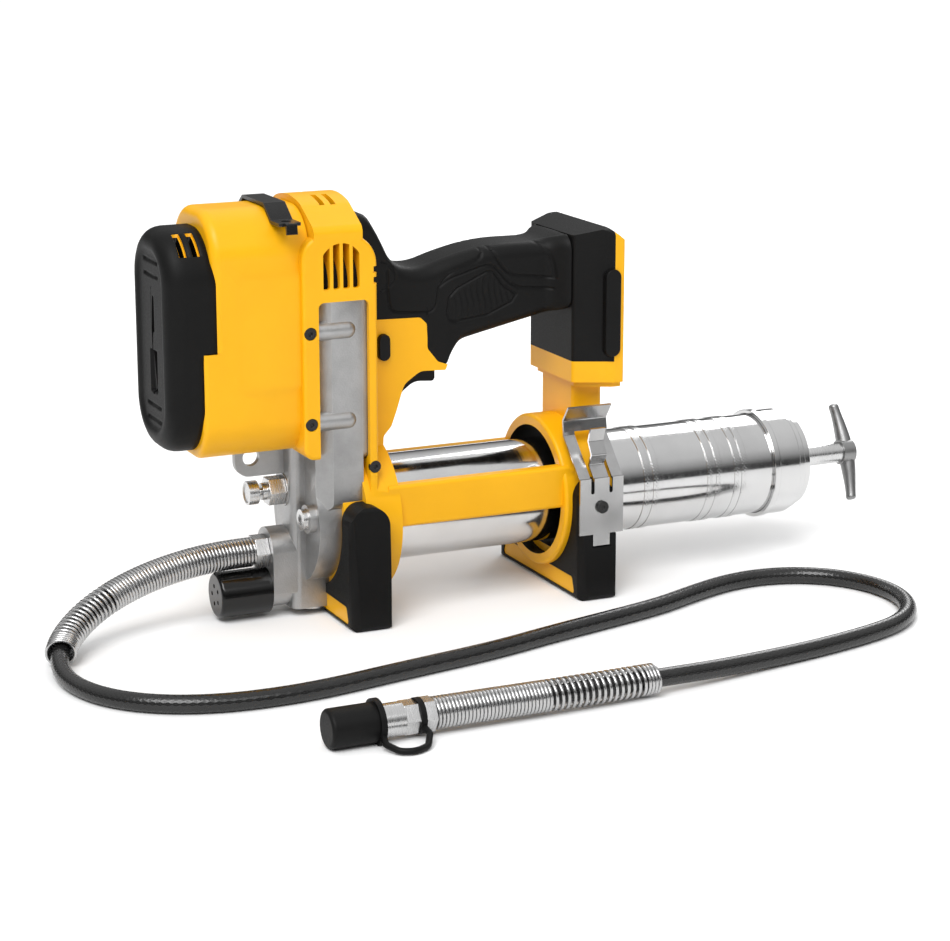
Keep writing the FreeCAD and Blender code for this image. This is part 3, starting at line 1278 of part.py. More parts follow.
def t_handle():
    """Cast cross bar with a hub that grips the rod."""
    hub = rod_x(STEM_REAR + 2, BAR_REAR - 1.5, STEM_R + 1.2, BARREL_Z)
    middle = BAR_REAR - BAR_R
    sections = []
    for along, radius in ((-0.5, 3.0), (-0.3, 3.5), (0, BAR_R), (0.3, 3.5), (0.5, 3.0)):
        centre = V(middle - BAR_BOW * (2 * along) ** 2, 0, BARREL_Z + along * BAR_LENGTH)
        sections.append(Part.Wire(Part.Circle(centre, Z, radius).toShape()))
    bar = Part.makeLoft(sections, True)
    bar = bar.makeFillet(1.8, [e for e in bar.Edges if abs(e.BoundBox.ZLength) < 0.01
                               and abs(abs(e.BoundBox.ZMin - BARREL_Z) - BAR_LENGTH / 2) < 0.01])
    handle = union([hub, bar])
    handle.rotate(V(0, 0, BARREL_Z), X, -BAR_TILT)
    return handle.cut(rod_x(0, STEM_REAR + 2, ROD_R + 3, BARREL_Z))


# ==== hose, guards and coupler =================================================
def hose_edges():
    """Route of the hose: straight runs joined by arcs as large as the runs allow."""
    points = [V(*p) for p in HOSE_ROUTE]
    radii = [0.0] * len(points)
    for k in range(1, len(points) - 1):
        back = points[k - 1] - points[k]
        ahead = points[k + 1] - points[k]
        half_turn = (math.pi - back.getAngle(ahead)) / 2
        radii[k] = 0.45 * min(back.Length, ahead.Length) / math.tan(half_turn)
    print("hose radii:", [round(r) for r in radii[1:-1]])
    print("runs:", [round((points[k + 1] - points[k]).Length) for k in range(len(points) - 1)])
    return rounded_edges(points, radii, False)


def tube_along(edges, radius):
    wire = Part.Wire(edges)
    start = edges[0].Vertexes[0].Point
    tangent = edges[0].tangentAt(edges[0].FirstParameter)
    ring = Part.Wire(Part.Circle(start, tangent, radius).toShape())
    solid = wire.makePipeShell([ring], True, True)
    expected = math.pi * radius ** 2 * wire.Length
    print("tube length", round(wire.Length, 1), "volume ratio", round(solid.Volume / expected, 5))
    return solid


def hose():
    return tube_along(HOSE_EDGES, HOSE_R)


def hose_guard_head():
    edges = HOSE_EDGES[:2 * HEAD_GUARD_RUNS]
    return tube_along(edges, GUARD_R).cut(tube_along(edges, HOSE_R + RUN))


def hose_guard_tip():
    edges = HOSE_EDGES[1 - 2 * TIP_GUARD_RUNS:]
    return tube_along(edges, GUARD_R).cut(tube_along(edges, HOSE_R + RUN))


def hose_fitting():
    """Threaded end of the hose with its hexagon and the spigot in the pump's outlet."""
    nut = hex_x(FITTING_FRONT, PORT_FRONT, 16, OUTLET_Z)
    spigot = rod_x(PORT_FRONT, SPIGOT_END, OUTLET_BORE - RUN, OUTLET_Z)
    return union([nut, spigot]).cut(rod_x(FITTING_FRONT + 1, SPIGOT_END + 1, GREASE_BORE, OUTLET_Z))


def coupler_adapter():
    """Hexagon between the hose and the coupler."""
    nut = hex_x(ADAPTER_X[0] + 3, ADAPTER_X[1], 15, COUPLER_Z, COUPLER_Y)
    neck = rod_x(ADAPTER_X[0], ADAPTER_X[0] + 3, 6.2, COUPLER_Z, COUPLER_Y)
    bore = rod_x(ADAPTER_X[0] - 1, ADAPTER_X[1] - 1, GREASE_BORE, COUPLER_Z, COUPLER_Y)
    return union([nut, neck]).cut(bore)


def coupler_body():
    """Grease coupler with a nipple bore at its mouth and a hexagon behind it."""
    mouth = DUST_CAP_X[0] + 4
    body = union([
        hex_x(COUPLER_X[1] - 7, COUPLER_X[1], 14.5, COUPLER_Z, COUPLER_Y),
        rod_x(COUPLER_X[0], COUPLER_X[1] - 7, COUPLER_R, COUPLER_Z, COUPLER_Y),
        rod_x(mouth, COUPLER_X[0], COUPLER_R - 0.8, COUPLER_Z, COUPLER_Y),
    ])
    body = body.cut(rod_x(mouth - 1, mouth + 12, COUPLER_BORE, COUPLER_Z, COUPLER_Y))
    return body.cut(rod_x(mouth + 10, COUPLER_X[1] + 1, GREASE_BORE, COUPLER_Z, COUPLER_Y))


def dust_cap():
    """Rubber cap over the coupler's mouth."""
    cap = rod_x(*DUST_CAP_X, DUST_CAP_R, COUPLER_Z, COUPLER_Y)
    cap = soften(cap, 2.0, edge_in_plane("x", DUST_CAP_X[0]))
    bore = DUST_CAP_X[0] + 3.6
    cap = cap.cut(rod_x(COUPLER_X[0] - FREE / 2, DUST_CAP_X[1] + 1, COUPLER_R + RUN, COUPLER_Z, COUPLER_Y))
    return cap.cut(rod_x(bore, DUST_CAP_X[1], COUPLER_R - 0.8 + RUN, COUPLER_Z, COUPLER_Y))


def cap_tether():
    """Rubber cord from a ring on the adapter to a ring on the dust cap."""
    ring_a = tube_x(ADAPTER_X[0] + 0.1, ADAPTER_X[0] + 2.9, 8.6, 6.2 + RUN, COUPLER_Z, COUPLER_Y)
    ring_b = tube_x(DUST_CAP_X[1] - 3.4, DUST_CAP_X[1] - 0.6, DUST_CAP_R + 1.6, DUST_CAP_R,
                    COUPLER_Z, COUPLER_Y)
    ring_b = ring_b.cut(box((-300, 0), (-400, 0), (-5, 0.05)))
    points = [
        V(ADAPTER_X[0] + 1.5, COUPLER_Y - 6.5, COUPLER_Z - 3), V(ADAPTER_X[0] + 2, COUPLER_Y - 13, 5),
        V(ADAPTER_X[0] - 2, COUPLER_Y - 20, TETHER_Z), V(ADAPTER_X[0] - 10, COUPLER_Y - 24, TETHER_Z),
        V(DUST_CAP_X[1] + 1, COUPLER_Y - 21, TETHER_Z), V(DUST_CAP_X[1] - 3, COUPLER_Y - 14, 3.5),
        V(DUST_CAP_X[1] - 2, COUPLER_Y - 9, 6),
    ]
    cord = tube_along(rounded_edges(points, [0, 4, 6, 8, 6, 4, 0], False), TETHER_R)
    cord = cord.cut(dust_cap()).cut(coupler_body())
    return union([ring_a, ring_b, cord])


# ==== build ====================================================================
HOSE_EDGES = hose_edges()

PIECES = {
    "gearcase": gearcase,
    "gearcase_cover": gearcase_cover,
    "gearcase_screws": gearcase_screws,
    "crank_bushing": crank_bushing,
    "idler_pin": idler_pin,
    "barrel_seal": barrel_seal,
    "check_ball": check_ball,
    "check_spring": check_spring,
    "relief_valve": relief_valve,
    "relief_cover": relief_cover,
    "pump_plug": pump_plug,
    "bleeder_body": bleeder_body,
    "bleeder_stem": bleeder_stem,
    "check_valve_plug": check_valve_plug,
    "motor_pinion": motor_pinion,
    "idler_gear": idler_gear,
    "crank_gear": crank_gear,
    "crank_shaft": crank_shaft,
    "plunger": plunger,
    "motor_can": motor_can,
    "motor_magnets": motor_magnets,
    "motor_bearings": motor_bearings,
    "brush_card": brush_card,
    "armature": armature,
    "motor_shaft": motor_shaft,
    "motor_fan": motor_fan,
    "motor_housing": motor_housing,
    "motor_end_cap": motor_end_cap,
    "strap_bracket": strap_bracket,
    "top_vent_cover": top_vent_cover,
    "clamshell_left": lambda: half_casing(-1),
    "clamshell_right": lambda: half_casing(1),
    "housing_screws": housing_screws,
    "grip_overmould": grip_overmould,
    "bay_overmould": bay_overmould,
    "bay_bumpers": bay_bumpers,
    "terminal_block": terminal_block,
    "terminal_blades": terminal_blades,
    "front_foot_pad": front_foot_pad,
    "rear_foot_pad": rear_foot_pad,
    "coupler_clip": coupler_clip,
    "clip_screw": clip_screw,
    "trigger": trigger,
    "lock_button": lock_button,
    "switch_module": switch_module,
    "barrel_tube": barrel_tube,
    "end_cap": end_cap,
    "follower_cup": follower_cup,
    "follower_plate": follower_plate,
    "follower_spring": follower_spring,
    "follower_rod": follower_rod,
    "t_handle": t_handle,
    "hose": hose,
    "hose_guard_head": hose_guard_head,
    "hose_guard_tip": hose_guard_tip,
    "hose_fitting": hose_fitting,
    "coupler_adapter": coupler_adapter,
    "coupler_body": coupler_body,
    "dust_cap": dust_cap,
    "cap_tether": cap_tether,
}

os.makedirs("parts", exist_ok=True)
for name, build in PIECES.items():
    shape = build()
    if not shape.isValid():
        print("not valid:", name)
    save(name, shape)
print(len(PIECES), "pieces")
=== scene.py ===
"""Looks of the cordless grease gun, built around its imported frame.

Metres, +X towards the T-handle, +Y the operator's right, +Z up, bench at z = 0.
"""
import json
import math

import bmesh
import bpy
import numpy as np
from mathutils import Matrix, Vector


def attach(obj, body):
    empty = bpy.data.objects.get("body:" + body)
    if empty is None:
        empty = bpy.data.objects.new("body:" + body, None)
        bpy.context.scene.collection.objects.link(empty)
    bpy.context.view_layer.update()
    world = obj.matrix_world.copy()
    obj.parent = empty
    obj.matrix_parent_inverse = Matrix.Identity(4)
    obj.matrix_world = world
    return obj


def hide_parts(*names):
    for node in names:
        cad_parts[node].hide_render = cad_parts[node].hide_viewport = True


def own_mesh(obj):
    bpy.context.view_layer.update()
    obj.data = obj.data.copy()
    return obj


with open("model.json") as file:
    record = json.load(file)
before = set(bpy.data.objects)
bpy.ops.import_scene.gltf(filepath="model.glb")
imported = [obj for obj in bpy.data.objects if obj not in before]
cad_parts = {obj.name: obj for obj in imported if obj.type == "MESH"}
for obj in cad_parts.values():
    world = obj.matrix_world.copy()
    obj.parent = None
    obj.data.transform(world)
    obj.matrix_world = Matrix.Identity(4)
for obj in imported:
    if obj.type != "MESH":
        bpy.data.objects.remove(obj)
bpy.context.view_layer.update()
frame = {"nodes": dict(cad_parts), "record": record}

MM = 0.001
NODES = frame["nodes"]
BODY_OF = {n: b for b, ns in frame["record"]["behaviour"]["bodies"].items() for n in ns}
SLOT_OF = {s["node"]: s["material_slot"] for s in frame["record"]["subparts"]}


# ---- camera ---------------------------------------------------------------------
CAMERA_AZIMUTH = -24.86
CAMERA_ELEVATION = 14.37
CAMERA_DISTANCE = 1.4175
CAMERA_TARGET = Vector((-30.5, 0, 65.8)) * MM
CAMERA_LENS = 98.36


def make_camera():
    azimuth = math.radians(CAMERA_AZIMUTH)
    elevation = math.radians(CAMERA_ELEVATION)
    back = Vector((
        math.sin(azimuth) * math.cos(elevation),
        -math.cos(azimuth) * math.cos(elevation),
        math.sin(elevation),
    ))
    data = bpy.data.cameras.new("camera")
    data.lens = CAMERA_LENS
    data.sensor_width = 36
    camera = bpy.data.objects.new("camera", data)
    bpy.context.scene.collection.objects.link(camera)
    camera.location = CAMERA_TARGET + back * CAMERA_DISTANCE
    camera.rotation_mode = "QUATERNION"
    camera.rotation_quaternion = (-back).to_track_quat("-Z", "Y")
    bpy.context.scene.camera = camera


make_camera()


# ---- shader groups ----------------------------------------------------------------
def link(tree, a, b):
    tree.links.new(a, b)


def new_group(name, inputs, outputs):
    """Empty shader group with named float inputs, and outputs of a given kind."""
    tree = bpy.data.node_groups.new(name, "ShaderNodeTree")
    for label, value in inputs:
        tree.interface.new_socket(label, in_out="INPUT", socket_type="NodeSocketFloat").default_value = value
    for label, kind in outputs:
        tree.interface.new_socket(label, in_out="OUTPUT", socket_type=kind)
    return tree, tree.nodes.new("NodeGroupInput"), tree.nodes.new("NodeGroupOutput")


def maths(tree, operation, a, b=None, clamp=False):
    """Math node; a and b are sockets or plain values."""
    node = tree.nodes.new("ShaderNodeMath")
    node.operation = operation
    node.use_clamp = clamp
    for k, value in enumerate((a, b)):
        if value is None:
            continue
        if isinstance(value, (int, float)):
            node.inputs[k].default_value = value
        else:
            link(tree, value, node.inputs[k])
    return node.outputs[0]


def noise_node(tree, vector, scale, detail=3.0, roughness=0.55):
    node = tree.nodes.new("ShaderNodeTexNoise")
    node.inputs["Detail"].default_value = detail
    node.inputs["Roughness"].default_value = roughness
    if isinstance(scale, (int, float)):
        node.inputs["Scale"].default_value = scale
    else:
        link(tree, scale, node.inputs["Scale"])
    link(tree, vector, node.inputs["Vector"])
    return node.outputs["Fac"]


def grain_group():
    """Moulded or cast grain: a fine height with a slow drift of tone."""
    tree, inp, out = new_group(
        "surface_grain",
        [("Grain Size", 0.0004), ("Drift Size", 0.03), ("Coarseness", 0.4)],
        [("Height", "NodeSocketFloat"), ("Tone", "NodeSocketFloat"), ("Speckle", "NodeSocketFloat")],
    )
    place = tree.nodes.new("ShaderNodeTexCoord").outputs["Object"]
    fine_scale = maths(tree, "DIVIDE", 1.0, inp.outputs["Grain Size"])
    fine = noise_node(tree, place, fine_scale, 2.0, 0.6)
    coarse = noise_node(tree, place, maths(tree, "MULTIPLY", fine_scale, 0.28), 3.0)
    share = inp.outputs["Coarseness"]
    mixed = maths(tree, "ADD", maths(tree, "MULTIPLY", coarse, share),
                  maths(tree, "MULTIPLY", fine, maths(tree, "SUBTRACT", 1.0, share)))
    drift = noise_node(tree, place, maths(tree, "DIVIDE", 1.0, inp.outputs["Drift Size"]), 4.0)
    link(tree, mixed, out.inputs["Height"])
    link(tree, drift, out.inputs["Tone"])
    link(tree, fine, out.inputs["Speckle"])
    return tree


def turning_group():
    """Fine rings left by turning or drawing, around an axis along X."""
    tree, inp, out = new_group(
        "turning_lines",
        [("Line Size", 0.0003), ("Drift Size", 0.02)],
        [("Height", "NodeSocketFloat"), ("Tone", "NodeSocketFloat")],
    )
    place = tree.nodes.new("ShaderNodeTexCoord").outputs["Object"]
    squeeze = tree.nodes.new("ShaderNodeVectorMath")
    squeeze.operation = "MULTIPLY"
    squeeze.inputs[1].default_value = (1.0, 0.03, 0.03)
    link(tree, place, squeeze.inputs[0])
    rings = noise_node(tree, squeeze.outputs[0], maths(tree, "DIVIDE", 1.0, inp.outputs["Line Size"]), 2.0)
    drift = noise_node(tree, place, maths(tree, "DIVIDE", 1.0, inp.outputs["Drift Size"]), 4.0)
    link(tree, rings, out.inputs["Height"])
    link(tree, drift, out.inputs["Tone"])
    return tree


def edge_wear_and_highlight_group():
    """Mask of sharp edges, broken up so that the lighter edges look uneven: wear on metal, a painted edge
    highlight on black plastic.
    """
    tree, inp, out = new_group(
        "edge_wear_and_highlight",
        [("Width", 0.0006), ("Breakup Size", 0.004)],
        [("Mask", "NodeSocketFloat")],
    )
    bevel = tree.nodes.new("ShaderNodeBevel")
    bevel.samples = 4
    link(tree, inp.outputs["Width"], bevel.inputs["Radius"])
    geometry = tree.nodes.new("ShaderNodeNewGeometry")
    dot = tree.nodes.new("ShaderNodeVectorMath")
    dot.operation = "DOT_PRODUCT"
    link(tree, bevel.outputs["Normal"], dot.inputs[0])
    link(tree, geometry.outputs["Normal"], dot.inputs[1])
    place = tree.nodes.new("ShaderNodeTexCoord").outputs["Object"]
    breakup = noise_node(tree, place, maths(tree, "DIVIDE", 1.0, inp.outputs["Breakup Size"]), 4.0)
    away = maths(tree, "MULTIPLY", maths(tree, "SUBTRACT", 1.0, dot.outputs["Value"]), 6.0, True)
    link(tree, maths(tree, "MULTIPLY", away, breakup, True), out.inputs["Mask"])
    return tree


GRAIN = grain_group()
TURNING = turning_group()
EDGE_WEAR_AND_HIGHLIGHT = edge_wear_and_highlight_group()


# ---- materials --------------------------------------------------------------------
def use_group(tree, group, **values):
    node = tree.nodes.new("ShaderNodeGroup")
    node.node_tree = group
    for label, value in values.items():
        node.inputs[label.replace("_", " ")].default_value = value
    return node


def ramp(tree, factor, low, high, start=0.3, end=0.7):
    """Colour that runs from low to high as factor goes from start to end."""
    node = tree.nodes.new("ShaderNodeValToRGB")
    node.color_ramp.elements[0].position = start
    node.color_ramp.elements[1].position = end
    node.color_ramp.elements[0].color = (*low, 1)
    node.color_ramp.elements[1].color = (*high, 1)
    link(tree, factor, node.inputs[0])
    return node.outputs[0]


def spread(tree, factor, low, high):
    """Value that runs from low to high as factor goes from 0.3 to 0.7."""
    node = tree.nodes.new("ShaderNodeMapRange")
    node.inputs["From Min"].default_value = 0.3
    node.inputs["From Max"].default_value = 0.7
    node.inputs["To Min"].default_value = low
    node.inputs["To Max"].default_value = high
    link(tree, factor, node.inputs["Value"])
    return node.outputs[0]


def bump(tree, shader, height, depth, strength=1.0):
    node = tree.nodes.new("ShaderNodeBump")
    node.inputs["Strength"].default_value = strength
    node.inputs["Distance"].default_value = depth
    link(tree, height, node.inputs["Height"])
    link(tree, node.outputs["Normal"], shader.inputs["Normal"])
    return node


def new_material(name, **constants):
    material = bpy.data.materials.new(name)
    material.use_nodes = True
    tree = material.node_tree
    shader = tree.nodes["Principled BSDF"]
    for label, value in constants.items():
        shader.inputs[label.replace("_", " ")].default_value = value
    return material, tree, shader


def mix_colour(tree, factor, a, b):
    """Colour a where factor is 0 and b where it is 1; b is a plain colour."""
    node = tree.nodes.new("ShaderNodeMix")
    node.data_type = "RGBA"
    link(tree, factor, node.inputs["Factor"])
    link(tree, a, node.inputs["A"])
    node.inputs["B"].default_value = (*b, 1)
    return node.outputs["Result"]


def grained(name, low, high, rough, size, depth, coarse=0.4, drift=0.04, edge_wear_and_highlight_tone=None, **constants):
    """Moulded or cast finish: grain, drifting tone and uneven gloss; the edge tone is a lighter edge colour,
    wear on the metals and a painted edge highlight on the black plastics.
    """
    material, tree, shader = new_material(name, **constants)
    grain = use_group(tree, GRAIN, Grain_Size=size, Drift_Size=drift, Coarseness=coarse)
    colour = ramp(tree, grain.outputs["Tone"], low, high)
    # Lighter edges: wear on the metals, a painted edge highlight on the black plastics.
    if edge_wear_and_highlight_tone:
        edge = use_group(tree, EDGE_WEAR_AND_HIGHLIGHT)
        colour = mix_colour(tree, edge.outputs["Mask"], colour, edge_wear_and_highlight_tone)
    link(tree, colour, shader.inputs["Base Color"])
    link(tree, spread(tree, grain.outputs["Speckle"], *rough), shader.inputs["Roughness"])
    bump(tree, shader, grain.outputs["Height"], depth)
    return material


def turned(name, low, high, rough, size, depth, drift=0.02, **constants):
    """Metal with fine rings round the X axis."""
    material, tree, shader = new_material(name, Metallic=1.0, **constants)
    lines = use_group(tree, TURNING, Line_Size=size, Drift_Size=drift)
    link(tree, ramp(tree, lines.outputs["Tone"], low, high), shader.inputs["Base Color"])
    link(tree, spread(tree, lines.outputs["Height"], *rough), shader.inputs["Roughness"])
    bump(tree, shader, lines.outputs["Height"], depth)
    return material


def grey(value):
    return (value, value, value)


YELLOW = grained("yellow_nylon", (0.82, 0.40, 0.002), (0.88, 0.44, 0.003), (0.34, 0.44),
                 0.0005, 0.00002, 0.3, Specular_IOR_Level=0.3)
# The lighter edge tone of the two black plastics below is a painted edge highlight; on the cast aluminium and
# the black oxide it is wear.
OVERMOULD = grained("black_overmould", grey(0.0025), grey(0.0045), (0.46, 0.6), 0.0006, 0.00006, 0.3,
                    edge_wear_and_highlight_tone=grey(0.01), Specular_IOR_Level=0.17)
BLACK = grained("black_nylon", grey(0.0025), grey(0.0045), (0.3, 0.42), 0.0005, 0.00003, 0.3,
                edge_wear_and_highlight_tone=grey(0.01), Specular_IOR_Level=0.17)
GLOSSY = grained("glossy_black_cap", grey(0.0025), grey(0.0045), (0.12, 0.2), 0.0009, 0.00001, 0.3,
                 Specular_IOR_Level=0.4)
CAST = grained("cast_aluminium", grey(0.34), grey(0.46), (0.36, 0.52), 0.0009, 0.00022, 0.5,
               0.02, edge_wear_and_highlight_tone=grey(0.62), Metallic=1.0)
ZINC = grained("cast_zinc", grey(0.25), grey(0.34), (0.32, 0.46), 0.0008, 0.0001, 0.5, Metallic=1.0)
CHROME = turned("chrome_plate", grey(0.56), grey(0.66), (0.09, 0.16), 0.0012, 0.000008, 0.05)
STEEL = turned("machined_steel", grey(0.52), grey(0.66), (0.2, 0.34), 0.0003, 0.00001)
STRIP = grained("polished_strip", grey(0.38), grey(0.48), (0.21, 0.25), 0.0004, 0.000003, 0.6,
                0.015, Metallic=1.0)
WIRE = grained("spring_wire", grey(0.42), grey(0.54), (0.18, 0.3), 0.0006, 0.00001, 0.4, Metallic=1.0)
DARK_STEEL = grained("black_oxide", grey(0.015), grey(0.03), (0.24, 0.36), 0.0006, 0.00002, 0.4,
                     edge_wear_and_highlight_tone=grey(0.1), Metallic=0.6)
BRONZE = grained("sintered_bronze", (0.36, 0.22, 0.08), (0.5, 0.32, 0.13), (0.3, 0.45), 0.0006,
                 0.00004, Metallic=1.0)
BRASS = grained("plated_blade", (0.6, 0.36, 0.12), (0.72, 0.46, 0.18), (0.2, 0.3), 0.0006, 0.00001,
                Metallic=1.0)
FERRITE = grained("ferrite", grey(0.04), grey(0.07), (0.5, 0.7), 0.0008, 0.00008)
CORE = grained("wound_core", (0.2, 0.12, 0.08), (0.34, 0.2, 0.12), (0.3, 0.5), 0.0005, 0.0001,
               Metallic=0.7)

MATERIAL_OF_SLOT = {
    "yellow_plastic": YELLOW,
    "black_rubber": OVERMOULD,
    "black_plastic": BLACK,
    "cast_aluminium": CAST,
    "zinc": ZINC,
    "chrome": CHROME,
    "steel": STEEL,
    "spring_steel": STRIP,
    "dark_steel": DARK_STEEL,
    "bronze": BRONZE,
    "copper_terminal": BRASS,
    "magnet": FERRITE,
    "laminations": CORE,
}


def woven_rubber():
    """Hose cover: glossy black with the faint crossed lines of a fine braid under it."""
    material, tree, shader = new_material("hose_cover")
    uv = tree.nodes.new("ShaderNodeTexCoord").outputs["UV"]
    parts = tree.nodes.new("ShaderNodeSeparateXYZ")
    link(tree, uv, parts.inputs[0])
    waves = []
    for sign in (-1, 1):
        along = maths(tree, "MULTIPLY", parts.outputs["X"], 2 * math.pi * HOSE_WEAVES)
        around = maths(tree, "MULTIPLY", parts.outputs["Y"], 2 * math.pi * HOSE_STRANDS * sign)
        waves.append(maths(tree, "SINE", maths(tree, "ADD", along, around)))
    weave = maths(tree, "ADD", maths(tree, "MULTIPLY", maths(tree, "MAXIMUM", *waves), 0.5), 0.5)
    grain = use_group(tree, GRAIN, Grain_Size=0.002, Drift_Size=0.02)
    link(tree, ramp(tree, grain.outputs["Tone"], grey(0.006), grey(0.013)), shader.inputs["Base Color"])
    link(tree, spread(tree, weave, 0.3, 0.2), shader.inputs["Roughness"])
    bump(tree, shader, weave, HOSE_WEAVE_DEPTH)
    return material


# ---- hose -------------------------------------------------------------------------
HOSE_R = 4.6 * MM
GUARD_R = 8.0 * MM
HOSE_WEAVES = 230
HOSE_STRANDS = 12
HOSE_WEAVE_DEPTH = 0.00006
FLOOR_Z = 4.7
HOSE_ROUTE = [
    (-160.5, 0, 35.5), (-178, 0, 35.5), (-200, -1, 33.2), (-221, -4, 29.4),
    (-240.5, -9, 24), (-258, -17.5, 17.5), (-272, -30.5, 11.2), (-280.5, -47.5, 6.8),
    (-283.5, -67, FLOOR_Z), (-281.5, -87, FLOOR_Z), (-274, -105.5, FLOOR_Z),
    (-260.5, -121, FLOOR_Z), (-241, -132.5, FLOOR_Z), (-215, -139, FLOOR_Z),
    (-178, -138.8, FLOOR_Z), (-129, -128.5, FLOOR_Z), (-76, -119, FLOOR_Z),
    (-36, -107, FLOOR_Z), (2, -97.5, FLOOR_Z), (37, -88, FLOOR_Z),
    (64, -76, FLOOR_Z), (89, -66.5, FLOOR_Z), (113, -64, FLOOR_Z),
    (135.5, -70, FLOOR_Z), (153, -84.5, FLOOR_Z), (163, -105.5, FLOOR_Z),
    (163.5, -129, FLOOR_Z), (154, -150.5, FLOOR_Z), (136.5, -166.5, FLOOR_Z),
    (112, -176, FLOOR_Z), (76, -184.5, FLOOR_Z), (40, -190.5, 5.2),
    (9, -196, 6.4), (-17, -199.8, 7.9), (-52, -202.8, 8.8), (-88, -204, 9.3),
    (-120, -204.5, 9.7), (-147.5, -204.5, 9.7),
]


def route_curve(name, bevel):
    """One open NURBS spline through the route's control points."""
    data = bpy.data.curves.new(name, "CURVE")
    data.dimensions = "3D"
    spline = data.splines.new("NURBS")
    spline.points.add(len(HOSE_ROUTE) - 1)
    for point, place in zip(spline.points, HOSE_ROUTE):
        point.co = (*[v * MM for v in place], 1.0)
    spline.order_u = 3
    spline.use_endpoint_u = True
    data.resolution_u = 16
    data.bevel_depth = bevel
    data.bevel_resolution = 6
    data.use_fill_caps = bevel > 0
    obj = bpy.data.objects.new(name, data)
    bpy.context.scene.collection.objects.link(obj)
    return obj


def evaluated_mesh(obj):
    graph = bpy.context.evaluated_depsgraph_get()
    return bpy.data.meshes.new_from_object(obj.evaluated_get(graph), depsgraph=graph)


def route_points():
    """Points along the hose's centre line, read from its spline."""
    line = route_curve("route_line", 0)
    mesh = evaluated_mesh(line)
    points = [v.co.copy() for v in mesh.vertices]
    bpy.data.objects.remove(line)
    return points


def make_hose():
    hose = route_curve("hose_tube", HOSE_R)
    hose.data.materials.append(woven_rubber())
    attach(hose, "housing")
    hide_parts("hose")
    return hose


hose_tube = make_hose()
ROUTE_LINE = route_points()


# ---- meshes -----------------------------------------------------------------------
def new_object(name, mesh, material):
    obj = bpy.data.objects.new(name, mesh)
    bpy.context.scene.collection.objects.link(obj)
    mesh.materials.clear()
    mesh.materials.append(material)
    return obj


def baked(obj):
    """The object with its modifiers applied."""
    mesh = evaluated_mesh(obj)
    obj.modifiers.clear()
    obj.data = mesh
    return obj


def place_piece(obj, body, nodes=()):
    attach(obj, body)
    if nodes:
        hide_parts(*nodes)
    return obj


BEVEL_ANGLE = math.radians(32)
FLAT_ANGLE = math.radians(0.6)


def refined(node, width, material=None, segments=2):
    """Copy of a CAD node with its sharp edges rounded off; it stands for the node."""
    mesh = NODES[node].data.copy()
    work = bmesh.new()
    work.from_mesh(mesh)
    bmesh.ops.remove_doubles(work, verts=work.verts, dist=2e-6)
    bmesh.ops.dissolve_limit(work, angle_limit=FLAT_ANGLE, verts=work.verts, edges=work.edges)
    for face in work.faces:
        face.smooth = True
    work.to_mesh(mesh)
    work.free()
    piece = new_object(node + "_finished", mesh, material or MATERIAL_OF_SLOT[SLOT_OF[node]])
    bevel = piece.modifiers.new("round", "BEVEL")
    bevel.width = width
    bevel.segments = segments
    bevel.limit_method = "ANGLE"
    bevel.angle_limit = BEVEL_ANGLE
    bevel.use_clamp_overlap = True
    weigh = piece.modifiers.new("normals", "WEIGHTED_NORMAL")
    weigh.weight = 80
    baked(piece)
    return place_piece(piece, BODY_OF[node], [node])


ROUNDING_MM = {
    "clamshell_left": 0.9, "clamshell_right": 0.9, "motor_housing": 0.8, "top_vent_cover": 0.9,
    "bay_overmould": 1.4, "bay_bumpers": 0.9,
    "front_foot_pad": 1.0, "rear_foot_pad": 1.0, "gearcase": 1.0, "strap_bracket": 0.4,
    "coupler_clip": 0.3, "trigger": 0.8, "lock_button": 0.6, "t_handle": 0.6,
    "relief_cover": 0.4, "end_cap": 0.5, "barrel_tube": 0.15, "pump_plug": 0.4,
    "check_valve_plug": 0.3, "bleeder_body": 0.3, "bleeder_stem": 0.3, "hose_fitting": 0.4,
    "coupler_adapter": 0.4, "coupler_body": 0.4, "dust_cap": 0.4, "terminal_block": 0.5,
    "follower_rod": 0.3, "relief_valve": 0.3, "housing_screws": 0.2, "clip_screw": 0.2,
}

OWN_MATERIAL = {"relief_cover": GLOSSY}
finished = {node: refined(node, width * MM, OWN_MATERIAL.get(node)) for node, width in ROUNDING_MM.items()}

REBUILT = ("hose", "grip_overmould", "motor_end_cap")
for node, obj in NODES.items():
    if node in ROUNDING_MM or node in REBUILT:
        continue
    obj.data.materials.clear()
    obj.data.materials.append(MATERIAL_OF_SLOT[SLOT_OF[node]])


BARREL_AXIS_Z = 51.6 * MM
RING_INSIDE_R = 36.6 * MM
RING_SPAN = (4.6 * MM, 33.5 * MM)
VENT_BACK_Z = 174.5 * MM
GRIP_CORE_HALF = 14.8 * MM
GRIP_REAR_X = (-104 * MM, 15 * MM)
GRIP_TRIGGER_X = -66 * MM
GRIP_FRONT_Z = 158.5 * MM
GRIP_LOW_Z = 131 * MM


def second_material(piece, material, chosen):
    """Gives the faces that chosen accepts another material."""
    piece.data.materials.append(material)
    for face in piece.data.polygons:
        if chosen(face):
            face.material_index = 1


def inside_rear_ring(face):
    x, y, z = face.center
    outward = Vector((0, y, z - BARREL_AXIS_Z))
    facing = outward.dot(face.normal) < -0.3 * outward.length
    return RING_SPAN[0] < x < RING_SPAN[1] and outward.length < RING_INSIDE_R and facing


# Gearcase faces above the vent back height are seen only through the vent slots; the black nylon they get is
# painted shade.
def painted_shade_behind_vents(face):
    return face.center.z > VENT_BACK_Z


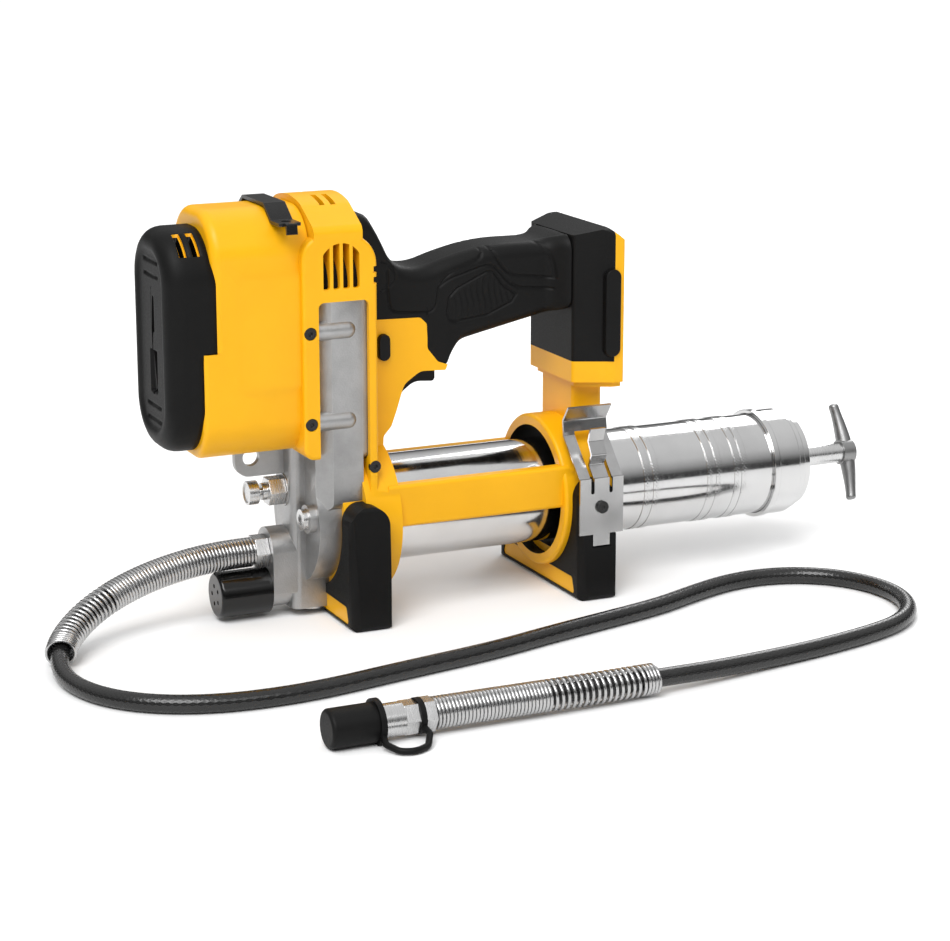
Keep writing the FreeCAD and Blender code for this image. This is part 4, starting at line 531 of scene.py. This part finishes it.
def under_grip(face):
    x, y, z = face.center
    below_lobe = GRIP_REAR_X[0] < x <= GRIP_TRIGGER_X and z > GRIP_FRONT_Z
    middle = GRIP_TRIGGER_X < x < GRIP_REAR_X[1] and z > GRIP_LOW_Z
    return abs(y) < GRIP_CORE_HALF and (below_lobe or middle)


def split_at_height(piece, height):
    """Cuts the piece's faces along a level plane, so that a second material can end there, here the painted
    shade behind the vents.
    """
    work = bmesh.new()
    work.from_mesh(piece.data)
    every = work.verts[:] + work.edges[:] + work.faces[:]
    bmesh.ops.bisect_plane(work, geom=every, dist=1e-6, plane_co=(0, 0, height), plane_no=(0, 0, 1))
    work.to_mesh(piece.data)
    work.free()


for half in ("clamshell_left", "clamshell_right"):
    second_material(finished[half], OVERMOULD, lambda face: inside_rear_ring(face) or under_grip(face))
# The gearcase is cut at the vent back height and painted black above it: painted shade seen through the vent
# slots.
split_at_height(finished["gearcase"], VENT_BACK_Z)
second_material(finished["gearcase"], BLACK, painted_shade_behind_vents)


# ---- grip -------------------------------------------------------------------------
GRIP_HALF = 17.0
GRIP_FLARE = 8.6
GRIP_FLARE_X = (1.0, 15.0)
GRIP_TOP_ROUND = 8.0
GRIP_BOTTOM_ROUND = 7.0
GRIP_CROWN = 0.7
STATION_STEP = 0.5
GRIP_TOP = [
    (-110.4, 214), (-99, 213.4, 4), (-92, 202, 12), (-84.5, 185.8, 9), (-68.5, 182, 12),
    (-50, 188, 12), (-27.5, 192.6, 14), (2, 192.2, 7), (12, 195.2, 3),
    (15.0, 195.8),
]
GRIP_BOTTOM = [
    (-110.4, 205), (-104.2, 204), (-103.8, 158), (-70, 157, 2), (-66.2, 153, 2), (-65.8, 140, 2),
    (-60, 132.5, 2), (-54.6, 130.4, 1), (-51.8, 136, 4), (-46, 142, 5), (-33.5, 144.7, 10),
    (1.5, 152, 8), (15.0, 155.6),
]
RIB_PAD = [
    (-54.3, 157.9), (-53.2, 166.5), (-48.6, 170.9), (-31.6, 178.5), (-27.3, 178.2), (-21.8, 170.6),
    (-13.9, 165.2), (-16.8, 161.2), (-31.5, 155.2), (-49.1, 153.2), (-52.9, 154.6), (-54.3, 157.9),
]
GRIP_GROOVES = [
    [(-33.5, 195), (-27.2, 188.8), (-24.3, 183.2), (-20.3, 178.1), (-15.4, 175.4), (6.4, 172.8)],
    [(-88.6, 183.5), (-88.3, 171.1), (-87.2, 163.1), (-84, 160.7), (-64, 159.1), (-60.7, 162.8),
     (-59.2, 173.3), (-53.4, 179.1), (-36.9, 184.7), (-33.4, 188), (-34.6, 191.6), (-40.8, 194)],
    [(-59.6, 172), (-53.8, 176), (-32.5, 182.0), (-27.3, 181.6), (-17.8, 171.2), (-11.9, 168.6),
     (7, 166.8)],
    [(-3.7, 193.4), (2.3, 189.4), (6.3, 183.7), (7.4, 176.4), (7.6, 172.6)],
    [(-92, 188), (-84.8, 185), (-83.4, 178.6), (-87.2, 174.7), (-92, 172.8)],
]
GROOVE_DEPTH = 0.85
GROOVE_HALF_WIDTH = 0.6
PAD_RECESS = 0.35
RIB_HEIGHT = 0.55
RIB_PITCH = 3.4
RIB_WAVE = 0.9


def smooth_line(corners, steps=8):
    """Line through corners (a, b, reach) whose corners are eased over their reach."""
    points = []
    for k, corner in enumerate(corners):
        place = Vector(corner[:2])
        if len(corner) < 3:
            points.append(place)
            continue
        back = Vector(corners[k - 1][:2]) - place
        ahead = Vector(corners[k + 1][:2]) - place
        start = place + back.normalized() * min(corner[2], back.length * 0.48)
        end = place + ahead.normalized() * min(corner[2], ahead.length * 0.48)
        for step in range(steps + 1):
            t = step / steps
            points.append(start * (1 - t) ** 2 + place * 2 * t * (1 - t) + end * t ** 2)
    return np.array([tuple(p) for p in points])


def line_distance(places, line):
    """Distance of each place to a line of points, both in one plane."""
    best = np.full(len(places), 1e9)
    for a, b in zip(np.asarray(line)[:-1], np.asarray(line)[1:]):
        along = b - a
        share = np.clip(((places - a) @ along) / max(along @ along, 1e-12), 0, 1)
        best = np.minimum(best, np.linalg.norm(places - a - share[:, None] * along, axis=1))
    return best


def inside_outline(places, outline):
    """True for each place inside a closed outline."""
    inside = np.zeros(len(places), bool)
    for (ax, az), (bx, bz) in zip(outline[:-1], outline[1:]):
        if az == bz:
            continue
        crosses = (az > places[:, 1]) != (bz > places[:, 1])
        reach = (bx - ax) * (places[:, 1] - az) / (bz - az) + ax
        inside ^= crosses & (places[:, 0] < reach)
    return inside


def ease(value, low, high):
    """0 below low, 1 above high and smooth between."""
    t = np.clip((value - low) / (high - low), 0, 1)
    return t * t * (3 - 2 * t)


def grip_relief(places):
    """Depth of the moulded grooves and ribs at places (x, z) on the grip's sides."""
    depth = np.zeros(len(places))
    for groove in GRIP_GROOVES:
        line = smooth_line([(*p, 4) if 0 < k < len(groove) - 1 else p for k, p in enumerate(groove)])
        depth = np.maximum(depth, GROOVE_DEPTH * np.exp(-(line_distance(places, line) / GROOVE_HALF_WIDTH) ** 2))
    to_edge = line_distance(places, RIB_PAD)
    within = np.where(inside_outline(places, RIB_PAD), to_edge, -to_edge)
    edge = GROOVE_DEPTH * np.exp(-(to_edge / GROOVE_HALF_WIDTH) ** 2)
    along = places[:, 0] + RIB_WAVE * np.sin((places[:, 1] - 165) / 3.2)
    ribs = 0.5 + 0.5 * np.cos(2 * np.pi * along / RIB_PITCH)
    pad = ease(within, 1.0, 2.2) * (PAD_RECESS - RIB_HEIGHT * ribs)
    return np.maximum(depth, edge) + pad


def grip_sections():
    """Cross sections of the grip, from the frame to the battery bay; millimetres."""
    top_line, bottom_line = smooth_line(GRIP_TOP), smooth_line(GRIP_BOTTOM)
    stations = np.arange(GRIP_TOP[0][0], GRIP_TOP[-1][0] + 0.01, STATION_STEP)
    tops = np.interp(stations, top_line[:, 0], top_line[:, 1])
    bottoms = np.interp(stations, bottom_line[:, 0], bottom_line[:, 1])
    sections = []
    for x, top, bottom in zip(stations, tops, bottoms):
        half = GRIP_HALF + GRIP_FLARE * ease(x, *GRIP_FLARE_X) ** 1.5
        upper = min(GRIP_TOP_ROUND, (top - bottom) * 0.45)
        lower = 0.5 + (GRIP_BOTTOM_ROUND - 0.5) * ease(x, -58.0, -44.0)
        lower = min(lower, (top - bottom) * 0.45)
        turn = np.linspace(0, np.pi / 2, 12)
        ys = [np.linspace(0, half - upper, 8), half - upper + upper * np.sin(turn),
              np.full(88, half), half - lower + lower * np.cos(turn), np.linspace(half - lower, 0, 8)]
        zs = [np.full(8, top), top - upper + upper * np.cos(turn),
              np.linspace(top - upper, bottom + lower, 90)[1:-1],
              bottom + lower - lower * np.sin(turn), np.full(8, bottom)]
        y, z = np.concatenate(ys), np.concatenate(zs)
        z -= np.where(z > top - 0.01, GRIP_CROWN * (y / half) ** 2, 0)
        sections.append(np.column_stack([np.full(len(y), x), y, z]))
    return np.array(sections)


def loft(name, sections, material, looped=False):
    """Closed mesh through rings of points (metres), capped at both ends or looped to the first."""
    count, around = sections.shape[:2]
    faces = []
    for k in range(count if looped else count - 1):
        here, there = k * around, (k + 1) % count * around
        for m in range(around):
            after = (m + 1) % around
            faces.append((here + m, there + m, there + after, here + after))
    if not looped:
        faces.append(tuple(range(around)))
        faces.append(tuple(range((count - 1) * around, count * around))[::-1])
    mesh = bpy.data.meshes.new(name)
    mesh.from_pydata(sections.reshape(-1, 3).tolist(), [], faces)
    work = bmesh.new()
    work.from_mesh(mesh)
    bmesh.ops.remove_doubles(work, verts=work.verts, dist=1e-6)
    bmesh.ops.recalc_face_normals(work, faces=work.faces)
    for face in work.faces:
        face.smooth = len(face.verts) < 5
    work.to_mesh(mesh)
    work.free()
    return new_object(name, mesh, material)


def make_grip():
    right = grip_sections()
    flat = right.reshape(-1, 3)
    depth = grip_relief(flat[:, (0, 2)]).reshape(right.shape[:2])
    side = ease(right[:, :, 1], 6.0, 13.0)
    right[:, :, 1] -= depth * side
    left = right[:, ::-1][:, 1:-1].copy()
    left[:, :, 1] *= -1
    grip = loft("grip_skin", np.concatenate([right, left], axis=1) * MM, OVERMOULD)
    return place_piece(grip, "housing", ["grip_overmould"])


make_grip()


# ---- motor end cap ----------------------------------------------------------------
CAP_BACK_X = -186.5
CAP_HALF = 30.6
CAP_Z = (96.0, 211.5)
CAP_CORNER = 27.0
CAP_PROFILE = [
    (CAP_BACK_X, 0), (-192, 0), (-198, 0), (-202.5, 0), (-205, 0.25), (-207.2, 0.9), (-209, 1.9),
    (-210.5, 3.2), (-211.7, 4.8), (-212.5, 6.6), (-213, 8.6), (-212.9, 10.0), (-212.4, 11.2),
    (-211.8, 12.2), (-211.5, 13.2),
]
CAP_FACE_X = -211.4
CAP_GROOVES_Z = (112.5, 120.0, 187.5, 195.0)
CAP_GROOVE = (11.5, 1.1)
CAP_SLOT = ((-3.2, 1.0), (158.0, 177.0))
CAP_RECESS = ((-6.5, 4.5), (127.0, 149.0))
CAP_LOWER_X = -194.8
CAP_STEP_Z = 150.0
CAP_VENTS_X = (-204.5, -197.5)
CAP_VENT_WIDTH = 3.6
CAP_VENT_TURN = (34.0, 68.0)


def rounded_ring(inset):
    """Points (y, z) round the end cap's outline, drawn in by inset."""
    half = CAP_HALF - inset
    low, high = CAP_Z[0] + inset, CAP_Z[1] - inset
    corner = max(min(CAP_CORNER - inset, half - 0.05), 0.3)
    points = []
    for cy, cz, begin in ((half - corner, high - corner, 0), (corner - half, high - corner, 90),
                          (corner - half, low + corner, 180), (half - corner, low + corner, 270)):
        for step in range(25):
            angle = math.radians(begin + 90 * step / 24)
            points.append((cy + corner * math.cos(angle), cz + corner * math.sin(angle)))
        if begin == 90:
            points += [(-half, high - corner - (high - low - 2 * corner) * k / 80) for k in range(1, 80)]
        if begin == 270:
            points += [(half, low + corner + (high - low - 2 * corner) * k / 80) for k in range(1, 80)]
    return np.array(points)


def box_mask(y, z, span_y, span_z, soft=0.5):
    """1 inside a rectangle and 0 outside, with a short slope."""
    return (ease(y, span_y[0], span_y[0] + soft) * (1 - ease(y, span_y[1] - soft, span_y[1]))
            * ease(z, span_z[0], span_z[0] + soft) * (1 - ease(z, span_z[1] - soft, span_z[1])))


def cutter(name, span_x, span_y, span_z, round_, material):
    """Rounded block used to cut another piece; metres after scaling from millimetres."""
    mesh = bpy.data.meshes.new(name)
    work = bmesh.new()
    bmesh.ops.create_cube(work, size=1)
    for vert in work.verts:
        vert.co = Vector([
            (low + high) / 2 + c * (high - low) for c, (low, high) in zip(vert.co, (span_x, span_y, span_z))
        ]) * MM
    along_y = [e for e in work.edges if abs(e.verts[0].co.y - e.verts[1].co.y) > 1e-6]
    bmesh.ops.bevel(work, geom=along_y, offset=round_ * MM, segments=5, affect="EDGES", profile=0.5)
    work.to_mesh(mesh)
    work.free()
    return new_object(name, mesh, material)


def arc_cutter(name, span_x, reach, turn, side, material):
    """Part of a ring round the upper corner of the end cap, used to cut it."""
    middle = (CAP_HALF - CAP_CORNER, CAP_Z[1] - CAP_CORNER)
    angles = np.radians(np.linspace(*turn, 13))
    outline = [(r * np.cos(a), r * np.sin(a)) for r, row in zip(reach, (angles, angles[::-1])) for a in row]
    rings = [[(x, side * (middle[0] + y), middle[1] + z) for y, z in outline] for x in span_x]
    return loft(name, np.array(rings) * MM, material)


def cut(piece, cutters):
    """Takes the cutters away from the piece; new faces keep the cutter's material."""
    for tool in cutters:
        modifier = piece.modifiers.new("cut", "BOOLEAN")
        modifier.operation = "DIFFERENCE"
        modifier.object = tool
        modifier.solver = "EXACT"
        modifier.material_mode = "TRANSFER"
    baked(piece)
    for tool in cutters:
        bpy.data.objects.remove(tool)
    return piece


def make_end_cap():
    rings = [np.insert(rounded_ring(inset), 0, x, axis=1) for x, inset in CAP_PROFILE]
    for inset in np.arange(14.0, CAP_HALF - 0.2, 0.75):
        ring = np.insert(rounded_ring(inset), 0, CAP_FACE_X, axis=1)
        y, z = ring[:, 1], ring[:, 2]
        depth = 0.9 * box_mask(y, z, *CAP_SLOT) + 1.6 * box_mask(y, z, *CAP_RECESS)
        for groove in CAP_GROOVES_Z:
            depth += 1.0 * box_mask(y, z, (-CAP_GROOVE[0], CAP_GROOVE[0]),
                                    (groove - CAP_GROOVE[1], groove + CAP_GROOVE[1]), 0.8)
        ring[:, 0] += depth
        rings.append(ring)
    cap = loft("end_cap_shell", np.array(rings) * MM, OVERMOULD)
    tools = [cutter("lower_step", (CAP_LOWER_X, -180), (-40, 40), (80, CAP_STEP_Z), 3.0, OVERMOULD)]
    for x in CAP_VENTS_X:
        for side in (-1, 1):
            # Each vent takes two cuts: the wide one leaves yellow walls; the narrower, deeper one gets black
            # nylon, painted shade at the bottom of the slot in the solid shell.
            for margin, low_reach, material in ((0, CAP_CORNER - 1.6, YELLOW), (0.6, CAP_CORNER - 9, BLACK)):
                turn = (CAP_VENT_TURN[0] + margin * 2, CAP_VENT_TURN[1] - margin * 2)
                span = (x + margin, x + CAP_VENT_WIDTH - margin)
                tools.append(arc_cutter("vent", span, (low_reach, CAP_CORNER + 4), turn, side, material))
    cut(cap, tools)
    return place_piece(cap, "housing", ["motor_end_cap"])


make_end_cap()


# ---- knurled bands ----------------------------------------------------------------
BAND_SEAT = 0.7


def knurled_band(name, centre, radius, span_x, depth, count, rows, material, body, nodes=()):
    """Ring round an axis along X with crossed raised points; millimetres."""
    rings = []
    angles = np.linspace(0, 2 * np.pi, 4 * count, endpoint=False)
    for k, x in enumerate(np.linspace(*span_x, rows)):
        edge = 0 if 0 < k < rows - 1 else 1
        across = (x - span_x[0]) * count / radius
        waves = np.maximum(np.sin(count * angles + across), np.sin(count * angles - across))
        r = radius + depth * (0.5 + 0.5 * waves) * (1 - edge) - edge * 0.3
        rings.append(np.column_stack([np.full(len(angles), x), centre[0] + r * np.cos(angles),
                                      centre[1] + r * np.sin(angles)]))
    for x in span_x[::-1]:
        inner = np.full(len(angles), radius - BAND_SEAT)
        rings.append(np.column_stack([np.full(len(angles), x), centre[0] + inner * np.cos(angles),
                                      centre[1] + inner * np.sin(angles)]))
    band = loft(name, np.array(rings) * MM, material, looped=True)
    return place_piece(band, body, nodes)


BARREL_R = 28.6
BAND_X = (61.5, 67.1, 101.5, 107.0, 118.8, 123.4)
BAND_WIDTH = 4.2
for number, band_x in enumerate(BAND_X):
    knurled_band("barrel_knurl_%d" % number, (0, 51.6), BARREL_R + 0.12, (band_x - BAND_WIDTH / 2, band_x + BAND_WIDTH / 2),
                 0.28, 96, 11, CHROME, "barrel")


def make_follower_spring():
    """The spring, a copy of the CAD coil in spring wire, rides on the follower."""
    spring = new_object("follower_spring_coil", NODES["follower_spring"].data.copy(), WIRE)
    place_piece(spring, "follower", ["follower_spring"])
    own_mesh(spring)


make_follower_spring()


# ---- spring guards ----------------------------------------------------------------
def wire_tree():
    """Geometry Nodes: a line of points becomes a round wire."""
    tree = bpy.data.node_groups.new("round_wire", "GeometryNodeTree")
    face = tree.interface
    face.new_socket("Geometry", in_out="INPUT", socket_type="NodeSocketGeometry")
    radius = face.new_socket("Wire Radius", in_out="INPUT", socket_type="NodeSocketFloat")
    radius.default_value = 0.001
    sides = face.new_socket("Sides", in_out="INPUT", socket_type="NodeSocketInt")
    sides.default_value = 8
    face.new_socket("Finish", in_out="INPUT", socket_type="NodeSocketMaterial")
    face.new_socket("Geometry", in_out="OUTPUT", socket_type="NodeSocketGeometry")
    inp = tree.nodes.new("NodeGroupInput")
    out = tree.nodes.new("NodeGroupOutput")
    to_curve = tree.nodes.new("GeometryNodeMeshToCurve")
    ring = tree.nodes.new("GeometryNodeCurvePrimitiveCircle")
    sweep = tree.nodes.new("GeometryNodeCurveToMesh")
    sweep.inputs["Fill Caps"].default_value = True
    smooth = tree.nodes.new("GeometryNodeSetShadeSmooth")
    realize = tree.nodes.new("GeometryNodeRealizeInstances")
    finish = tree.nodes.new("GeometryNodeSetMaterial")
    link(tree, inp.outputs["Geometry"], to_curve.inputs["Mesh"])
    link(tree, inp.outputs["Wire Radius"], ring.inputs["Radius"])
    link(tree, inp.outputs["Sides"], ring.inputs["Resolution"])
    link(tree, to_curve.outputs["Curve"], sweep.inputs["Curve"])
    link(tree, ring.outputs["Curve"], sweep.inputs["Profile Curve"])
    link(tree, sweep.outputs["Mesh"], smooth.inputs["Geometry"])
    link(tree, smooth.outputs["Geometry"], realize.inputs["Geometry"])
    link(tree, realize.outputs["Geometry"], finish.inputs["Geometry"])
    link(tree, inp.outputs["Finish"], finish.inputs["Material"])
    link(tree, finish.outputs["Geometry"], out.inputs["Geometry"])
    return tree


WIRE_TREE = wire_tree()


def set_inputs(modifier, values):
    """Sets a Geometry Nodes modifier's inputs, by name, through their identifiers."""
    for item in modifier.node_group.interface.items_tree:
        if item.item_type == "SOCKET" and item.in_out == "INPUT" and item.name in values:
            modifier[item.identifier] = values[item.name]


def wire_piece(name, points, radius, material, sides=8):
    mesh = bpy.data.meshes.new(name)
    mesh.from_pydata(points, [(k, k + 1) for k in range(len(points) - 1)], [])
    obj = new_object(name, mesh, material)
    modifier = obj.modifiers.new("wire", "NODES")
    modifier.node_group = WIRE_TREE
    set_inputs(modifier, {"Wire Radius": radius, "Sides": sides, "Finish": material})
    return baked(obj)


def helix_along(line, radius, pitch_at, steps):
    """Points of a helix round a line; pitch_at gives the pitch at a share of the length."""
    lengths = [0.0]
    for a, b in zip(line, line[1:]):
        lengths.append(lengths[-1] + (b - a).length)
    total = lengths[-1]
    tangent = (line[1] - line[0]).normalized()
    side = tangent.orthogonal().normalized()
    points = []
    place, angle, index = 0.0, 0.0, 0
    while place <= total:
        while index < len(line) - 2 and lengths[index + 1] < place:
            index += 1
        along = (line[index + 1] - line[index]).normalized()
        side = (side - along * side.dot(along)).normalized()
        other = along.cross(side)
        centre = line[index] + along * (place - lengths[index])
        points.append(centre + side * radius * math.cos(angle) + other * radius * math.sin(angle))
        angle += 2 * math.pi / steps
        place += pitch_at(place / total) / steps
    return points


GUARD_WIRE_R = 0.95 * MM


def guard(name, node, line, pitch_at):
    points = helix_along(line, GUARD_R - GUARD_WIRE_R, pitch_at, 20)
    piece = wire_piece(name, points, GUARD_WIRE_R, WIRE)
    return place_piece(piece, "housing", [node])


def nearest_index(point):
    return min(range(len(ROUTE_LINE)), key=lambda k: (ROUTE_LINE[k] - point).length)


def head_pitch(share):
    """Close coils, then open ones before the tight end."""
    if share < 0.62 or share > 0.93:
        return 2.02 * GUARD_WIRE_R
    return 3.2 * GUARD_WIRE_R


def tip_pitch(share):
    """Open coils with a few close ones at each end."""
    if share < 0.06 or share > 0.5:
        return 2.02 * GUARD_WIRE_R
    return 3.4 * GUARD_WIRE_R


HEAD_GUARD_END = Vector((-282, -42, 8)) * MM
TIP_GUARD_START = Vector((-28, -201, 8.2)) * MM
guard("guard_head_coil", "hose_guard_head", ROUTE_LINE[:nearest_index(HEAD_GUARD_END)], head_pitch)
guard("guard_tip_coil", "hose_guard_tip", ROUTE_LINE[nearest_index(TIP_GUARD_START):], tip_pitch)


# ---- floor and light --------------------------------------------------------------
FLOOR_REACH = 45.0


def make_floor():
    mesh = bpy.data.meshes.new("floor")
    reach = FLOOR_REACH
    mesh.from_pydata([(-reach, -reach, 0), (reach, -reach, 0), (reach, reach, 0), (-reach, reach, 0)],
                     [], [(0, 1, 2, 3)])
    material, tree, shader = new_material("pale_floor", Roughness=0.7, Specular_IOR_Level=0.2)
    grain = use_group(tree, GRAIN, Grain_Size=0.002, Drift_Size=0.6)
    link(tree, ramp(tree, grain.outputs["Tone"], grey(0.9), grey(0.93)), shader.inputs["Base Color"])
    floor = new_object("floor", mesh, material)


def aimed(data, place, aim):
    light = bpy.data.objects.new(data.name, data)
    bpy.context.scene.collection.objects.link(light)
    light.location = place
    light.rotation_mode = "QUATERNION"
    light.rotation_quaternion = (Vector(aim) - Vector(place)).to_track_quat("-Z", "Y")


def area_light(name, place, aim, size, power):
    data = bpy.data.lights.new(name, "AREA")
    data.shape = "RECTANGLE"
    data.size, data.size_y = size
    data.energy = power
    aimed(data, place, aim)


SKY = [(0.0, 0.5), (0.485, 0.35), (0.51, 0.05), (0.59, 0.09), (0.68, 0.45), (0.8, 0.8), (1.0, 1.0)]
SKY_STRENGTH = 0.95
SUN_STRENGTH = 2.1
SUN_SOFTNESS = math.radians(35)


def make_lights():
    aim = (0, 0, 0.08)
    sun = bpy.data.lights.new("sun", "SUN")
    sun.energy = SUN_STRENGTH
    sun.angle = SUN_SOFTNESS
    aimed(sun, (-1.0, -1.1, 2.0), aim)
    area_light("strip_front", (-0.35, -1.5, 1.2), aim, (1.6, 0.35), 5)
    area_light("rim", (0.9, 0.9, 0.9), aim, (0.5, 1.0), 6)
    world = bpy.data.worlds.new("studio")
    world.use_nodes = True
    tree = world.node_tree
    parts = tree.nodes.new("ShaderNodeSeparateXYZ")
    link(tree, tree.nodes.new("ShaderNodeTexCoord").outputs["Generated"], parts.inputs[0])
    height = maths(tree, "ADD", maths(tree, "MULTIPLY", parts.outputs["Z"], 0.5), 0.5)
    sky = tree.nodes.new("ShaderNodeValToRGB")
    stops = sky.color_ramp.elements
    while len(stops) < len(SKY):
        stops.new(0.5)
    for stop, (place, value) in zip(stops, SKY):
        stop.position = place
        stop.color = (value, value, value, 1)
    link(tree, height, sky.inputs[0])
    backdrop = tree.nodes["Background"]
    link(tree, sky.outputs[0], backdrop.inputs["Color"])
    backdrop.inputs["Strength"].default_value = SKY_STRENGTH
    bpy.context.scene.world = world


make_floor()
make_lights()
bpy.context.scene.view_settings.view_transform = "Standard"
